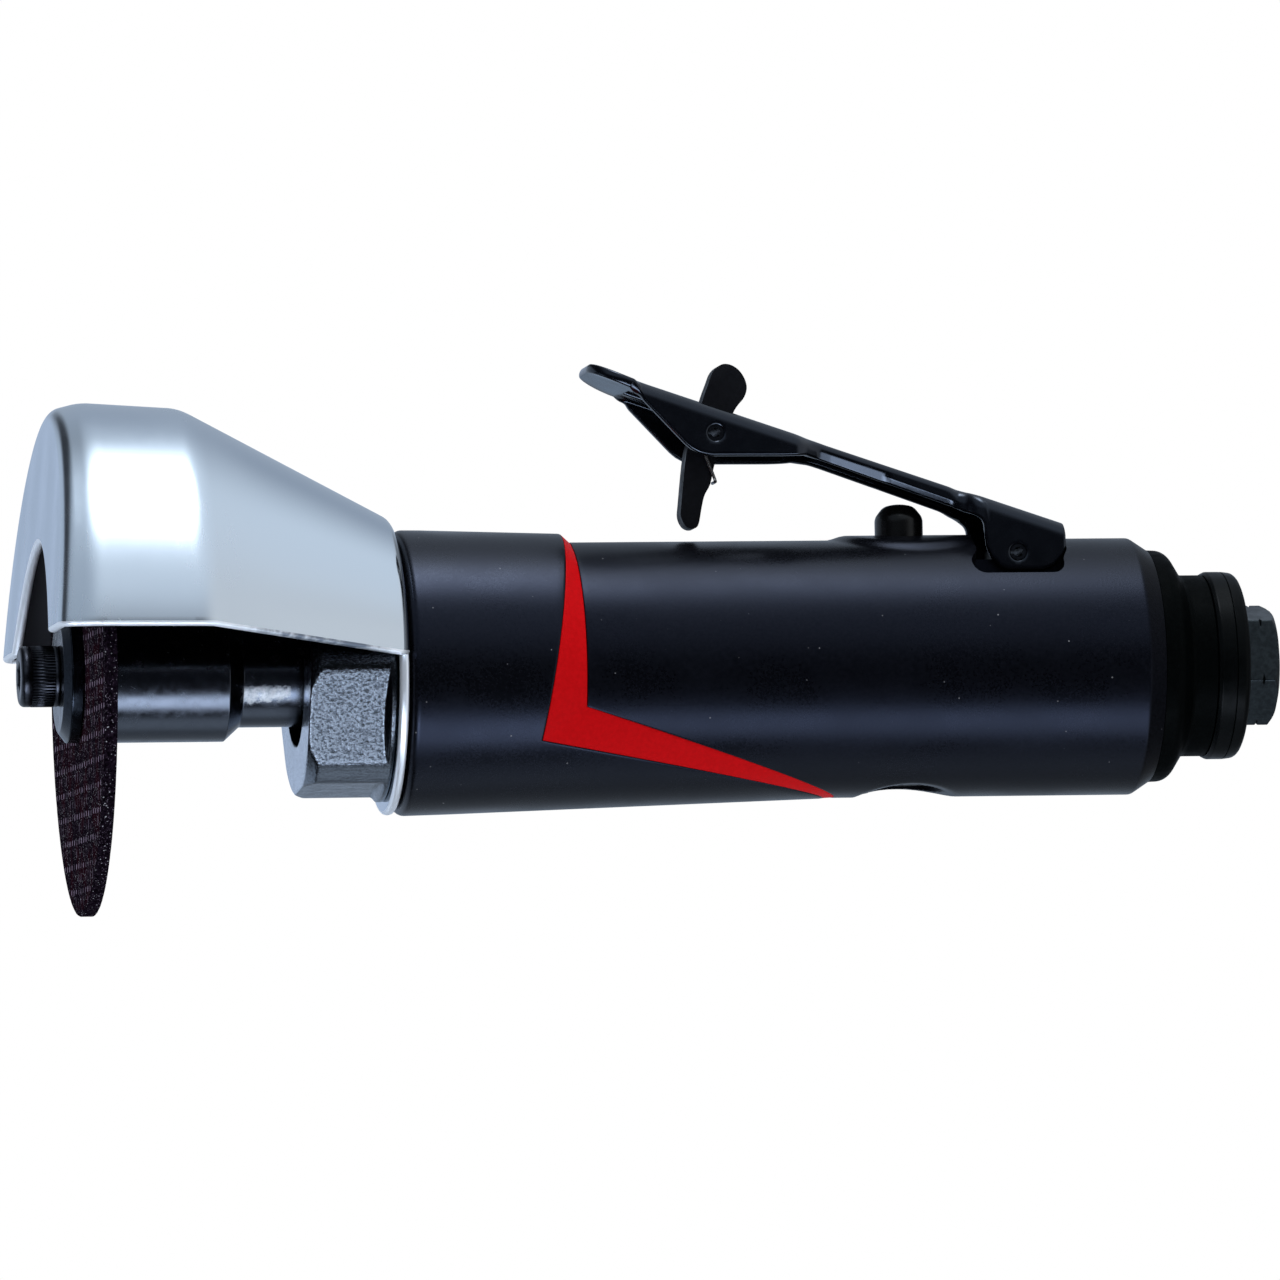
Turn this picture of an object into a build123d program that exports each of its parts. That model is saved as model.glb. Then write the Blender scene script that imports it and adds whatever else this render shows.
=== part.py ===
# Inline air cut-off tool, millimetres.
# The origin is the centre of the air inlet's mouth, +X points out of the inlet, +Z is the lever side.
import os
from math import cos, radians, sin

from build123d import *

os.makedirs("parts", exist_ok=True)

# Driving sizes
disc_r = 37.5
disc_t = 2.5
grip_r = 20.25
grip_t = 2.2
grip_flare = 2.15
hex_af = 17.0
hex_len = 5.6
thread_r = 5.7
thread_len = 12.0
ring_drop = 5.45
ring_len = 4.5
cap_len = 10.0
valve_from_cap = 38.9
valve_to_seat = 8.5
rear_plate_len = 12.4
cylinder_len = 38.0
front_plate_len = 15.0
spigot_len = 7.2
housing_wall = 2.1
cylinder_wall = 2.55
cylinder_offset = 1.1
guard_t = 1.5
guard_gap = 3.6
barrel_len = 23.4
hood_edge = 5.0
hood_edge_rear = 1.3
hood_front_gap = 5.0
nut_r = 19.6
nut_af = 36.5
nut_len = 13.25
arbor_r = 10.45
arbor_flange_len = 20.2
arbor_len = 31.9
neck_r = 8.25
flange_t = 3.1
screw_head_r = 4.75
screw_head_len = 6.1
button_r = 3.7
button_rise = 5.59
lever_len = 67.9
lever_half = 8.5
arm_half = 6.0
lever_t = 1.5
pin_r = 1.25
catch_t = 4.0

# Clearances
fit = 0.05
play = 0.3

# Derived radii
grip_front_r = grip_r + grip_flare
ring_r = grip_r - ring_drop
housing_r = grip_r - grip_t
liner_r = housing_r - housing_wall
cylinder_bore_r = liner_r - cylinder_wall
rotor_r = cylinder_bore_r - cylinder_offset - 0.1
guard_r = disc_r + guard_gap + guard_t
spigot_r = liner_r + 0.6
shank_r = thread_r + 1.7
hub_r = ring_r - 4.2
screw_r = 2.95

# Stations along the axis, from the inlet towards the disc
x_hex = -hex_len
x_ring = x_hex - 0.1
x_ring_front = x_ring - ring_len
x_neck = x_ring_front - 0.1
x_cap = x_ring - cap_len - ring_len + 0.1
x_valve = x_cap - valve_from_cap
x_seat = x_valve - valve_to_seat
x_rear_plate = x_seat - 0.1
x_cylinder_rear = x_rear_plate - rear_plate_len
x_cylinder_front = x_cylinder_rear - cylinder_len
x_front_plate = x_cylinder_front - front_plate_len
x_front = x_front_plate - spigot_len
x_guard_rear = x_front - fit
x_guard_ring = x_guard_rear - guard_t
x_nut_rear = x_guard_ring - fit
x_nut = x_nut_rear - nut_len
x_disc_rear = x_nut - arbor_len
x_disc = x_disc_rear - disc_t
x_flange = x_disc - flange_t
x_screw = x_flange - screw_head_len
x_guard = x_disc - hood_front_gap - guard_t

# Bearings: bore radius, outer radius, width, ball radius, ball count
front_bore_r = 6.0
rear_bore_r = 3.0
front_outer_r = liner_r - 1.95
rear_outer_r = liner_r - 6.45
front_bearing = (front_bore_r, front_outer_r, 8.0, 0.28 * (front_outer_r - front_bore_r), 8)
rear_bearing = (rear_bore_r, rear_outer_r, 6.0, 0.27 * (rear_outer_r - rear_bore_r), 7)
x_front_bearing = x_front_plate + 0.5
x_rear_bearing = x_rear_plate - 0.4 - rear_bearing[2]

# Lever and catch pivots, as X and Z
pivot = (x_valve + 17.5, grip_r - 2.65)
lever_unit = lever_len / 67.9
catch_pivot = (pivot[0] - 47.73 * lever_unit, pivot[1] + 19.13 * lever_unit)
pocket_floor = pivot[1] - 3.7
button_top = grip_r + button_rise


def yz(x):
    """Sketch plane across the axis at station x, with Y across and Z up."""
    return Plane.YZ.offset(x)


def about(point, pairs, unit=1.0):
    """Points given from a pivot, as X and Z of the tool."""
    return [(point[0] + unit * dx, point[1] + unit * dz) for dx, dz in pairs]


def rod(x, length, r):
    """Round bar on the axis from station x towards +X."""
    with BuildSketch(yz(x)) as face:
        Circle(r)
    extrude(face.sketch, amount=length)


def bore(x, length, r):
    """Round hole on the axis from station x towards +X."""
    with BuildSketch(yz(x)) as face:
        Circle(r)
    extrude(face.sketch, amount=length, mode=Mode.SUBTRACT)


def upright(z, height, r, mode=Mode.ADD):
    """Round bar on the valve's axis from height z upwards."""
    with BuildSketch(Plane.XY.offset(z)) as face:
        with Locations((x_valve, 0)):
            Circle(r)
    extrude(face.sketch, amount=height, mode=mode)


def turned(points):
    """Solid turned about the tool's axis from a profile of station and radius."""
    with BuildSketch(Plane.XZ) as face:
        with BuildLine():
            Polyline(*points, close=True)
        make_face()
    revolve(face.sketch, axis=Axis.X)


def save(part, name):
    part.label = name
    export_step(part, "parts/" + name + ".step")


# Disc clamping: screw, outer flange, disc and arbor
with BuildPart() as wheel_screw:
    rod(x_screw, screw_head_len, screw_head_r)
    front_rim = wheel_screw.faces().sort_by(Axis.X)[0].edges()
    fillet(front_rim, radius=1.3)
    with BuildSketch(yz(x_screw)):
        RegularPolygon(radius=2.5, side_count=6, major_radius=False)
    extrude(amount=3.2, mode=Mode.SUBTRACT)
    rod(x_flange, 17.5, screw_r)
save(wheel_screw.part, "wheel_screw")

with BuildPart() as outer_flange:
    rod(x_flange, flange_t, arbor_r)
    chamfer(outer_flange.faces().sort_by(Axis.X)[0].edges(), length=1.6, length2=1.2)
    bore(x_flange, flange_t, screw_r + 0.2)
save(outer_flange.part, "outer_flange")

with BuildPart() as cutting_disc:
    rod(x_disc, disc_t, disc_r)
    bore(x_disc, disc_t, screw_head_r)
save(cutting_disc.part, "cutting_disc")

with BuildPart() as arbor:
    turned([
        (x_disc + 0.4, 0), (x_disc + 0.4, screw_head_r - fit), (x_disc_rear, screw_head_r - fit),
        (x_disc_rear, arbor_r), (x_disc_rear + arbor_flange_len, arbor_r),
        (x_disc_rear + arbor_flange_len + arbor_r - neck_r + 0.2, neck_r),
        (x_front_bearing, neck_r), (x_front_bearing, 0),
    ])
    bore(x_disc, 17.5, screw_r + 0.03)
    bore(x_front_bearing - 20.5, 20.5, front_bearing[0] - 1.0)
save(arbor.part, "arbor")

# Guard and the nut that clamps it on the housing
with BuildPart() as clamp_nut:
    turned([
        (x_nut, 0), (x_nut, nut_r - 1.2), (x_nut + 1.7, nut_r), (x_nut_rear, nut_r),
        (x_nut_rear, spigot_r - fit), (x_front_plate, spigot_r - fit), (x_front_plate, 0),
    ])
    with BuildSketch(yz(x_nut - 1)):
        Circle(nut_r + 2)
        RegularPolygon(radius=nut_af / 2, side_count=6, major_radius=False, rotation=55, mode=Mode.SUBTRACT)
    extrude(amount=nut_len - 0.6, mode=Mode.SUBTRACT)
    bore(x_nut, x_front_plate - x_nut, neck_r + 3.05)
save(clamp_nut.part, "clamp_nut")

with BuildPart() as dust_seal:
    rod(x_nut_rear - 4.2, 3.0, neck_r + 3.0)
    bore(x_nut_rear - 4.2, 3.0, neck_r + 0.15)
save(dust_seal.part, "dust_seal")

guard_hole_r = spigot_r + play
guard_ring_r = grip_front_r - 0.2
with BuildPart() as guard:
    with BuildSketch(Plane.XZ) as hood_section:
        with BuildLine():
            Polyline(
                (x_guard, 0), (x_guard, guard_r), (x_guard + barrel_len, guard_r - 1.1),
                (x_guard_rear, guard_ring_r + 2.0), (x_guard_rear, 0), close=True,
            )
        make_face()
        corners = hood_section.vertices().filter_by(lambda v: v.Y > 1).sort_by(Axis.X)
        fillet(corners[0], radius=5.0)
        corners = hood_section.vertices().filter_by(lambda v: v.Y > 1).sort_by(Axis.X)
        fillet(corners[-1], radius=3.0)
        bend = hood_section.vertices().sort_by_distance((x_guard + barrel_len, guard_r - 1.1, 0))[0]
        fillet(bend, radius=7.0)
        offset(amount=-guard_t, mode=Mode.SUBTRACT)
        with Locations(((x_guard + x_guard_rear) / 2, 0)):
            Rectangle(x_guard_rear - x_guard - 2 * guard_t, 4 * guard_t, mode=Mode.SUBTRACT)
        with Locations((x_guard_rear, 0)):
            Rectangle(4 * guard_t, 2 * guard_hole_r, mode=Mode.SUBTRACT)
    revolve(axis=Axis.X)
    with BuildSketch(Plane.XZ):
        Polygon(
            (x_guard - 5, -2 * guard_r), (x_guard - 5, hood_edge), (x_guard + barrel_len, hood_edge - 0.1),
            (x_guard_ring, hood_edge_rear), (x_guard_ring, -2 * guard_r), align=None,
        )
    extrude(amount=2 * guard_r, both=True, mode=Mode.SUBTRACT)
    with BuildSketch(yz(x_guard_ring)):
        with Locations((0, hood_edge_rear - 2 * guard_r)):
            Rectangle(4 * guard_r, 4 * guard_r)
        Circle(guard_ring_r, mode=Mode.SUBTRACT)
    extrude(amount=2 * guard_t, mode=Mode.SUBTRACT)
    with BuildSketch(yz(x_guard - 1)):
        with BuildLine():
            arch = Bezier((-0.6 * guard_r, hood_edge), (0, 0.86 * guard_r), (0.6 * guard_r, hood_edge))
            Polyline(arch @ 1, (0.6 * guard_r, -5), (-0.6 * guard_r, -5), arch @ 0)
        make_face()
    extrude(amount=guard_t + 1.5, mode=Mode.SUBTRACT)
save(guard.part, "guard")


# Ball bearings
def bearing_ring(x, size, inner):
    """One ring of a bearing with its ball groove."""
    bore_r, outer_r, width, ball_r, count = size
    pitch_r = (bore_r + outer_r) / 2
    with BuildSketch(Plane.XZ) as face:
        low = bore_r if inner else pitch_r + 0.7 * ball_r
        high = pitch_r - 0.7 * ball_r if inner else outer_r
        with Locations((x + width / 2, (low + high) / 2)):
            Rectangle(width, high - low)
        with Locations((x + width / 2, pitch_r)):
            Circle(ball_r + 0.07, mode=Mode.SUBTRACT)
    revolve(face.sketch, axis=Axis.X)


def bearing_balls(x, size):
    """Balls and their cage, as separate solids."""
    bore_r, outer_r, width, ball_r, count = size
    pitch_r = (bore_r + outer_r) / 2
    middle = x + width / 2
    with BuildSketch(yz(middle - 1.25 * ball_r)) as face:
        Circle(pitch_r + 0.16 * ball_r)
        Circle(pitch_r - 0.16 * ball_r, mode=Mode.SUBTRACT)
    extrude(face.sketch, amount=2.5 * ball_r)
    for k in range(count):
        turn = radians(360 * k / count)
        with BuildSketch(Plane(origin=(middle, 0, 0), z_dir=(0, cos(turn), sin(turn)))) as face:
            Circle(ball_r + 0.07)
        extrude(face.sketch, amount=outer_r, mode=Mode.SUBTRACT)
    for k in range(count):
        turn = radians(360 * k / count)
        with Locations((middle, pitch_r * cos(turn), pitch_r * sin(turn))):
            Sphere(ball_r)


with BuildPart() as front_bearing_outer:
    bearing_ring(x_front_bearing, front_bearing, False)
save(front_bearing_outer.part, "front_bearing_outer")

with BuildPart() as front_bearing_inner:
    bearing_ring(x_front_bearing, front_bearing, True)
save(front_bearing_inner.part, "front_bearing_inner")

with BuildPart() as front_bearing_balls:
    bearing_balls(x_front_bearing, front_bearing)
save(front_bearing_balls.part, "front_bearing_balls")

with BuildPart() as rear_bearing_outer:
    bearing_ring(x_rear_bearing, rear_bearing, False)
save(rear_bearing_outer.part, "rear_bearing_outer")

with BuildPart() as rear_bearing_inner:
    bearing_ring(x_rear_bearing, rear_bearing, True)
save(rear_bearing_inner.part, "rear_bearing_inner")

with BuildPart() as rear_bearing_balls:
    bearing_balls(x_rear_bearing, rear_bearing)
save(rear_bearing_balls.part, "rear_bearing_balls")

# Vane motor: end plates, cylinder, rotor, vanes and the alignment pin
align_z = -(liner_r + cylinder_bore_r - cylinder_offset) / 2
feed_z = rear_bearing[1] + 2.5
feed_r = 1.9

with BuildPart() as front_end_plate:
    rod(x_front_plate, front_plate_len, liner_r - fit)
    bore(x_front_plate, front_bearing[2] + 0.5, front_bearing[1] + 0.01)
    bore(x_front_plate, front_plate_len, front_bearing[0] + 0.6)
    with BuildSketch(yz(x_cylinder_front)):
        with Locations((0, align_z)):
            Circle(1.03)
    extrude(amount=-3.2, mode=Mode.SUBTRACT)
save(front_end_plate.part, "front_end_plate")

with BuildPart() as cylinder:
    rod(x_cylinder_front, cylinder_len, liner_r - fit)
    with BuildSketch(yz(x_cylinder_front)):
        with Locations((0, cylinder_offset)):
            Circle(cylinder_bore_r)
        with Locations((0, align_z)):
            Circle(1.03)
    extrude(amount=cylinder_len, mode=Mode.SUBTRACT)
    with BuildSketch(Plane.XY):
        with Locations(((x_cylinder_front + x_cylinder_rear) / 2, 0)):
            with GridLocations(5.0, 8.0, 5, 2):
                Circle(1.6)
    extrude(amount=-2 * grip_r, mode=Mode.SUBTRACT)
save(cylinder.part, "cylinder")

with BuildPart() as rotor:
    rod(x_cylinder_front + 0.1, cylinder_len - 0.2, rotor_r)
    with BuildSketch(yz(x_cylinder_front)):
        with PolarLocations(rotor_r, 5):
            Rectangle(2 * 6.4, 2.0)
    extrude(amount=cylinder_len, mode=Mode.SUBTRACT)
    rod(x_front_bearing, x_cylinder_front + 0.1 - x_front_bearing, front_bearing[0] - 0.01)
    rod(x_front_bearing - 19.5, 19.5, front_bearing[0] - 1.03)
    rod(x_cylinder_rear - 0.1, x_rear_plate - x_cylinder_rear - 0.3, rear_bearing[0] - 0.01)
save(rotor.part, "rotor")

with BuildPart() as vanes:
    with BuildSketch(yz(x_cylinder_front + 0.3)):
        with PolarLocations(rotor_r - 3.1, 5):
            Rectangle(6.0, 1.9)
    extrude(amount=cylinder_len - 0.6)
save(vanes.part, "vanes")

with BuildPart() as rear_end_plate:
    rod(x_cylinder_rear, rear_plate_len, liner_r - fit)
    bore(x_rear_bearing, x_rear_plate - x_rear_bearing, rear_bearing[1] + 0.01)
    bore(x_cylinder_rear, rear_plate_len, rear_bearing[0] + 0.4)
    with BuildSketch(yz(x_cylinder_rear)):
        with Locations((0, feed_z)):
            Circle(feed_r)
    extrude(amount=rear_plate_len, mode=Mode.SUBTRACT)
    with BuildSketch(yz(x_cylinder_rear)):
        with Locations((0, align_z)):
            Circle(1.03)
    extrude(amount=3.2, mode=Mode.SUBTRACT)
save(rear_end_plate.part, "rear_end_plate")

with BuildPart() as alignment_pin:
    with BuildSketch(yz(x_cylinder_front - 3.0)):
        with Locations((0, align_z)):
            Circle(1.0)
    extrude(amount=cylinder_len + 6.0)
save(alignment_pin.part, "alignment_pin")

# Motor housing with the motor bore, valve bore, air ways and the lever's lug
chamber_r = 5.5
seat_z = 5.0
upper_z = seat_z + 3.5
bush_z = feed_z + feed_r
bush_r = button_r + 1.3
exhaust_r = housing_r - 2.2
pocket_x = (pivot[0] - 8.2, pivot[0] + 7.8)
lug_half = lever_half - lever_t - play - 0.1

with BuildPart() as motor_housing:
    rod(x_front, x_cap - x_front, housing_r)
    bore(x_front, x_seat - x_front, liner_r)
    bore(x_front, spigot_len + 0.1, spigot_r)
    bore(x_seat - 3.0, 3.0, housing_r - 1.0)
    with BuildSketch(yz(x_cylinder_front + 6.0)):
        with Locations((0, -(housing_r - 3.6))):
            Circle(2.6)
    extrude(amount=x_seat - x_cylinder_front - 6.0, mode=Mode.SUBTRACT)
    bore(x_cap - 18.0, 18.0, shank_r + fit)
    bore(x_valve, x_cap - 18.0 - x_valve, 4.0)
    with BuildSketch(yz(x_seat)):
        with PolarLocations(exhaust_r, 4, start_angle=218, angular_range=104):
            Circle(1.15)
    extrude(amount=x_cap - x_seat, mode=Mode.SUBTRACT)
    with BuildSketch(yz(x_seat)):
        with Locations((0, feed_z)):
            Circle(feed_r)
    extrude(amount=valve_to_seat, mode=Mode.SUBTRACT)
    upright(-grip_r, grip_r + seat_z, chamber_r, Mode.SUBTRACT)
    upright(0, grip_r, 2.8, Mode.SUBTRACT)
    upright(upper_z, grip_r, bush_r + 0.02, Mode.SUBTRACT)
    with BuildSketch(Plane.XZ):
        Polygon(
            (pocket_x[0], pocket_floor), (pocket_x[1], pocket_floor),
            (pocket_x[1], grip_r), (pocket_x[0], grip_r), align=None,
        )
    extrude(amount=2 * grip_r, both=True, mode=Mode.SUBTRACT)
    with BuildSketch(Plane.XZ):
        Polygon(*about(pivot, [(-4.6, -4.5), (4.6, -4.5), (2.6, 0), (-2.6, 0)]), align=None)
        with Locations(pivot):
            Circle(2.8)
            Circle(pin_r + 0.01, mode=Mode.SUBTRACT)
    extrude(amount=lug_half, both=True)
save(motor_housing.part, "motor_housing")

# Sleeves: front grip, red band and rear grip, parted along a V seen from the side
v_left_top = (x_front + 28.2, 1.48 * grip_r)
v_left_low = (x_front + 21.1, -0.593 * grip_r)
v_low_end = (x_valve - 1.0, -1.111 * grip_r)
v_right_top = (x_front + 30.2, 1.48 * grip_r)
v_right_mid = (x_front + 28.05, 0.938 * grip_r)
v_right_low = (x_front + 28.1, -0.336 * grip_r)
v_up_end = (x_valve - 1.0, -1.164 * grip_r)
v_outside = 2 * grip_front_r
sleeve_r = housing_r + fit

with BuildPart() as front_grip:
    turned([
        (x_front + 0.3, 0), (x_front + 0.3, grip_front_r - 1.5), (x_front + 1.0, grip_front_r - 0.4),
        (x_front + 2.2, grip_front_r), (x_valve - 10.0, grip_r), (x_valve, grip_r), (x_valve, 0),
    ])
    bore(x_front, x_valve - x_front, sleeve_r)
    with BuildSketch(Plane.XZ):
        Polygon(
            v_left_top, v_left_low, v_low_end, (0, v_low_end[1]), (0, v_outside), (v_left_top[0], v_outside),
            align=None,
        )
    extrude(amount=v_outside, both=True, mode=Mode.SUBTRACT)
save(front_grip.part, "front_grip")

with BuildPart() as accent_band:
    rod(x_front, x_valve - x_front, grip_r + 0.3)
    bore(x_front, x_valve - x_front, sleeve_r)
    with BuildSketch(Plane.XZ):
        Polygon(
            v_left_top, v_left_low, v_low_end, v_up_end, v_right_low, v_right_mid, v_right_top,
            align=None,
        )
    extrude(amount=v_outside, both=True, mode=Mode.INTERSECT)
save(accent_band.part, "accent_band")

boss_height = 0.7
boss_axis = grip_r + boss_height - 15.3
scoop_r = 20.2
with BuildPart() as rear_grip:
    turned([
        (x_front, 0), (x_front, grip_r), (x_cap - 2.8, grip_r), (x_cap - 1.0, grip_r - 0.75),
        (x_cap, grip_r - 1.85), (x_cap, 0),
    ])
    with BuildSketch(Plane.XZ):
        with BuildLine():
            crown = ThreePointArc(
                (x_valve - 16.0, grip_r + boss_height - 1.31), (x_valve + 2.0, grip_r + boss_height),
                (x_valve + 20.0, grip_r + boss_height - 1.66),
            )
            Polyline(crown @ 1, (x_valve + 20.0, boss_axis), (x_valve - 16.0, boss_axis), crown @ 0)
        make_face()
    revolve(axis=Axis((0, 0, boss_axis), (1, 0, 0)))
    bore(x_front, x_cap - x_front, sleeve_r)
    with BuildSketch(Plane.XZ):
        Polygon(
            (x_front - 1, -v_outside), (x_front - 1, v_outside), (v_right_top[0], v_outside), v_right_top,
            v_right_mid, v_right_low, v_up_end, (x_valve - 1.0, -v_outside), align=None,
        )
    extrude(amount=v_outside, both=True, mode=Mode.SUBTRACT)
    with BuildSketch(Plane.XZ) as pocket:
        Polygon(
            (pocket_x[0], pocket_floor), (pocket_x[1], pocket_floor),
            (pocket_x[1], v_outside), (pocket_x[0], v_outside), align=None,
        )
        fillet(pocket.vertices().filter_by(lambda v: v.Y < pocket_floor + 1), radius=2.0)
    extrude(amount=v_outside, both=True, mode=Mode.SUBTRACT)
    with BuildSketch(Plane.XZ):
        with Locations((x_valve, -(grip_r + scoop_r - 1.65))):
            Circle(scoop_r)
    extrude(amount=v_outside, both=True, mode=Mode.SUBTRACT)
    upright(0, 2 * grip_r, button_r + 0.25, Mode.SUBTRACT)
    upright(-2 * grip_r, 2 * grip_r, chamber_r + 0.4, Mode.SUBTRACT)
save(rear_grip.part, "rear_grip")

# Rear end: cap, exhaust ring, muffler, inlet bushing, washer and screen
wall_x = x_neck - 2.2
x_hub = x_hex - 1.0
with BuildPart() as rear_cap:
    with BuildSketch(Plane.XZ):
        with BuildLine():
            low = Polyline((x_cap, 0), (x_cap, grip_r - 1.9), (x_cap + 1.4, grip_r - 1.95))
            shoulder = ThreePointArc(low @ 1, (x_cap + 3.7, grip_r - 3.15), (x_cap + 5.2, ring_r + 0.2))
            Polyline(
                shoulder @ 1, (x_cap + 5.8, ring_r - 0.4), (x_cap + 6.5, ring_r - 0.6),
                (x_neck, ring_r - 0.6), (x_neck, hub_r), (x_hub - 1.0, hub_r), (x_hub - 1.0, hub_r - 0.4),
                (x_hub - 0.4, hub_r - 0.4), (x_hub - 0.4, hub_r), (x_hub, hub_r), (x_hub, 0), (x_cap, 0),
            )
        make_face()
    revolve(axis=Axis.X)
    bore(x_cap, 2.0, housing_r - 1.05)
    bore(x_cap, wall_x - x_cap, ring_r - 2.2)
    bore(x_cap, x_hub - x_cap, shank_r + 0.2)
    with BuildSketch(yz(x_neck)):
        with PolarLocations(hub_r + 1.4, 10):
            Circle(1.1)
    extrude(amount=-2.3, mode=Mode.SUBTRACT)
    with BuildSketch(Plane.XZ.offset(housing_r - 1.2)):
        with Locations((x_cap + 2.7, -1.7)):
            Circle(0.75)
    extrude(amount=5, mode=Mode.SUBTRACT)
save(rear_cap.part, "rear_cap")

lip_x = x_ring - 2.0
with BuildPart() as exhaust_ring:
    turned([
        (x_ring_front, 0), (x_ring_front, ring_r - 0.5), (x_ring_front + 0.5, ring_r),
        (x_ring_front + 1.4, ring_r), (x_ring_front + 1.6, ring_r - 0.3), (x_ring_front + 1.8, ring_r),
        (x_ring - 1.3, ring_r), (x_ring - 0.5, ring_r - 0.35), (x_ring, ring_r - 1.2), (x_ring, 0),
    ])
    bore(x_ring_front, lip_x - x_ring_front, ring_r - 1.4)
    bore(x_ring_front, ring_len, hub_r + 0.08)
    with BuildSketch(Plane.XZ):
        with Locations((x_hub - 0.7, hub_r)):
            Rectangle(0.3, 0.5)
    revolve(axis=Axis.X)
    with BuildSketch(yz(x_ring)):
        with PolarLocations((hub_r + ring_r) / 2 - 0.45, 12):
            Circle(0.85)
    extrude(amount=-2.5, mode=Mode.SUBTRACT)
save(exhaust_ring.part, "exhaust_ring")

with BuildPart() as muffler:
    rod(x_cap + 0.3, wall_x - x_cap - 0.5, ring_r - 2.4)
    bore(x_cap + 0.3, wall_x - x_cap - 0.5, shank_r + 0.3)
save(muffler.part, "muffler")

with BuildPart() as inlet_bushing:
    with BuildSketch(yz(x_hex)):
        RegularPolygon(radius=hex_af / 2, side_count=6, major_radius=False, rotation=18)
    extrude(amount=hex_len)
    with BuildSketch(Plane.XZ):
        corner_r = hex_af / 2 / cos(radians(30))
        Polygon(
            (-1.0, corner_r + 1), (-1.0, corner_r + 0.1), (0, corner_r - 1.2), (1, corner_r - 1.2),
            (1, corner_r + 1), align=None,
        )
    revolve(axis=Axis.X, mode=Mode.SUBTRACT)
    with BuildSketch(Plane.XZ):
        Polygon((-3.3, corner_r + 0.5), (-2.75, hex_af / 2 - 0.25), (-2.2, corner_r + 0.5), align=None)
    revolve(axis=Axis.X, mode=Mode.SUBTRACT)
    rod(x_cap - 17.5, x_hex - x_cap + 17.5, shank_r)
    bore(x_cap - 17.5, 17.5 - x_cap, shank_r - 3.2)
    bore(-thread_len - 1.2, 1.2, thread_r - 0.5)
    bore(-thread_len, thread_len, thread_r)
save(inlet_bushing.part, "inlet_bushing")

with BuildPart() as inlet_screen:
    rod(-thread_len - 1.2, 0.8, thread_r - 0.52)
    with BuildSketch(yz(-thread_len - 1.2)):
        with HexLocations(0.7, 5, 5):
            Circle(0.5)
    extrude(amount=0.8, mode=Mode.SUBTRACT)
save(inlet_screen.part, "inlet_screen")

with BuildPart() as inlet_washer:
    rod(x_hub, x_hex - x_hub, hex_af / 2 - 0.1)
    bore(x_hub, x_hex - x_hub, shank_r + 0.1)
save(inlet_washer.part, "inlet_washer")

# Throttle lever, pins, folding catch and its spring
slope = 0.34
nose_x = pivot[0] - lever_len
tail_x = pivot[0] + 7.3


def lever_top(x):
    """Height of the lever's upper face at station x."""
    return pivot[1] + 6.95 - slope * (x - pivot[0])


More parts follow.
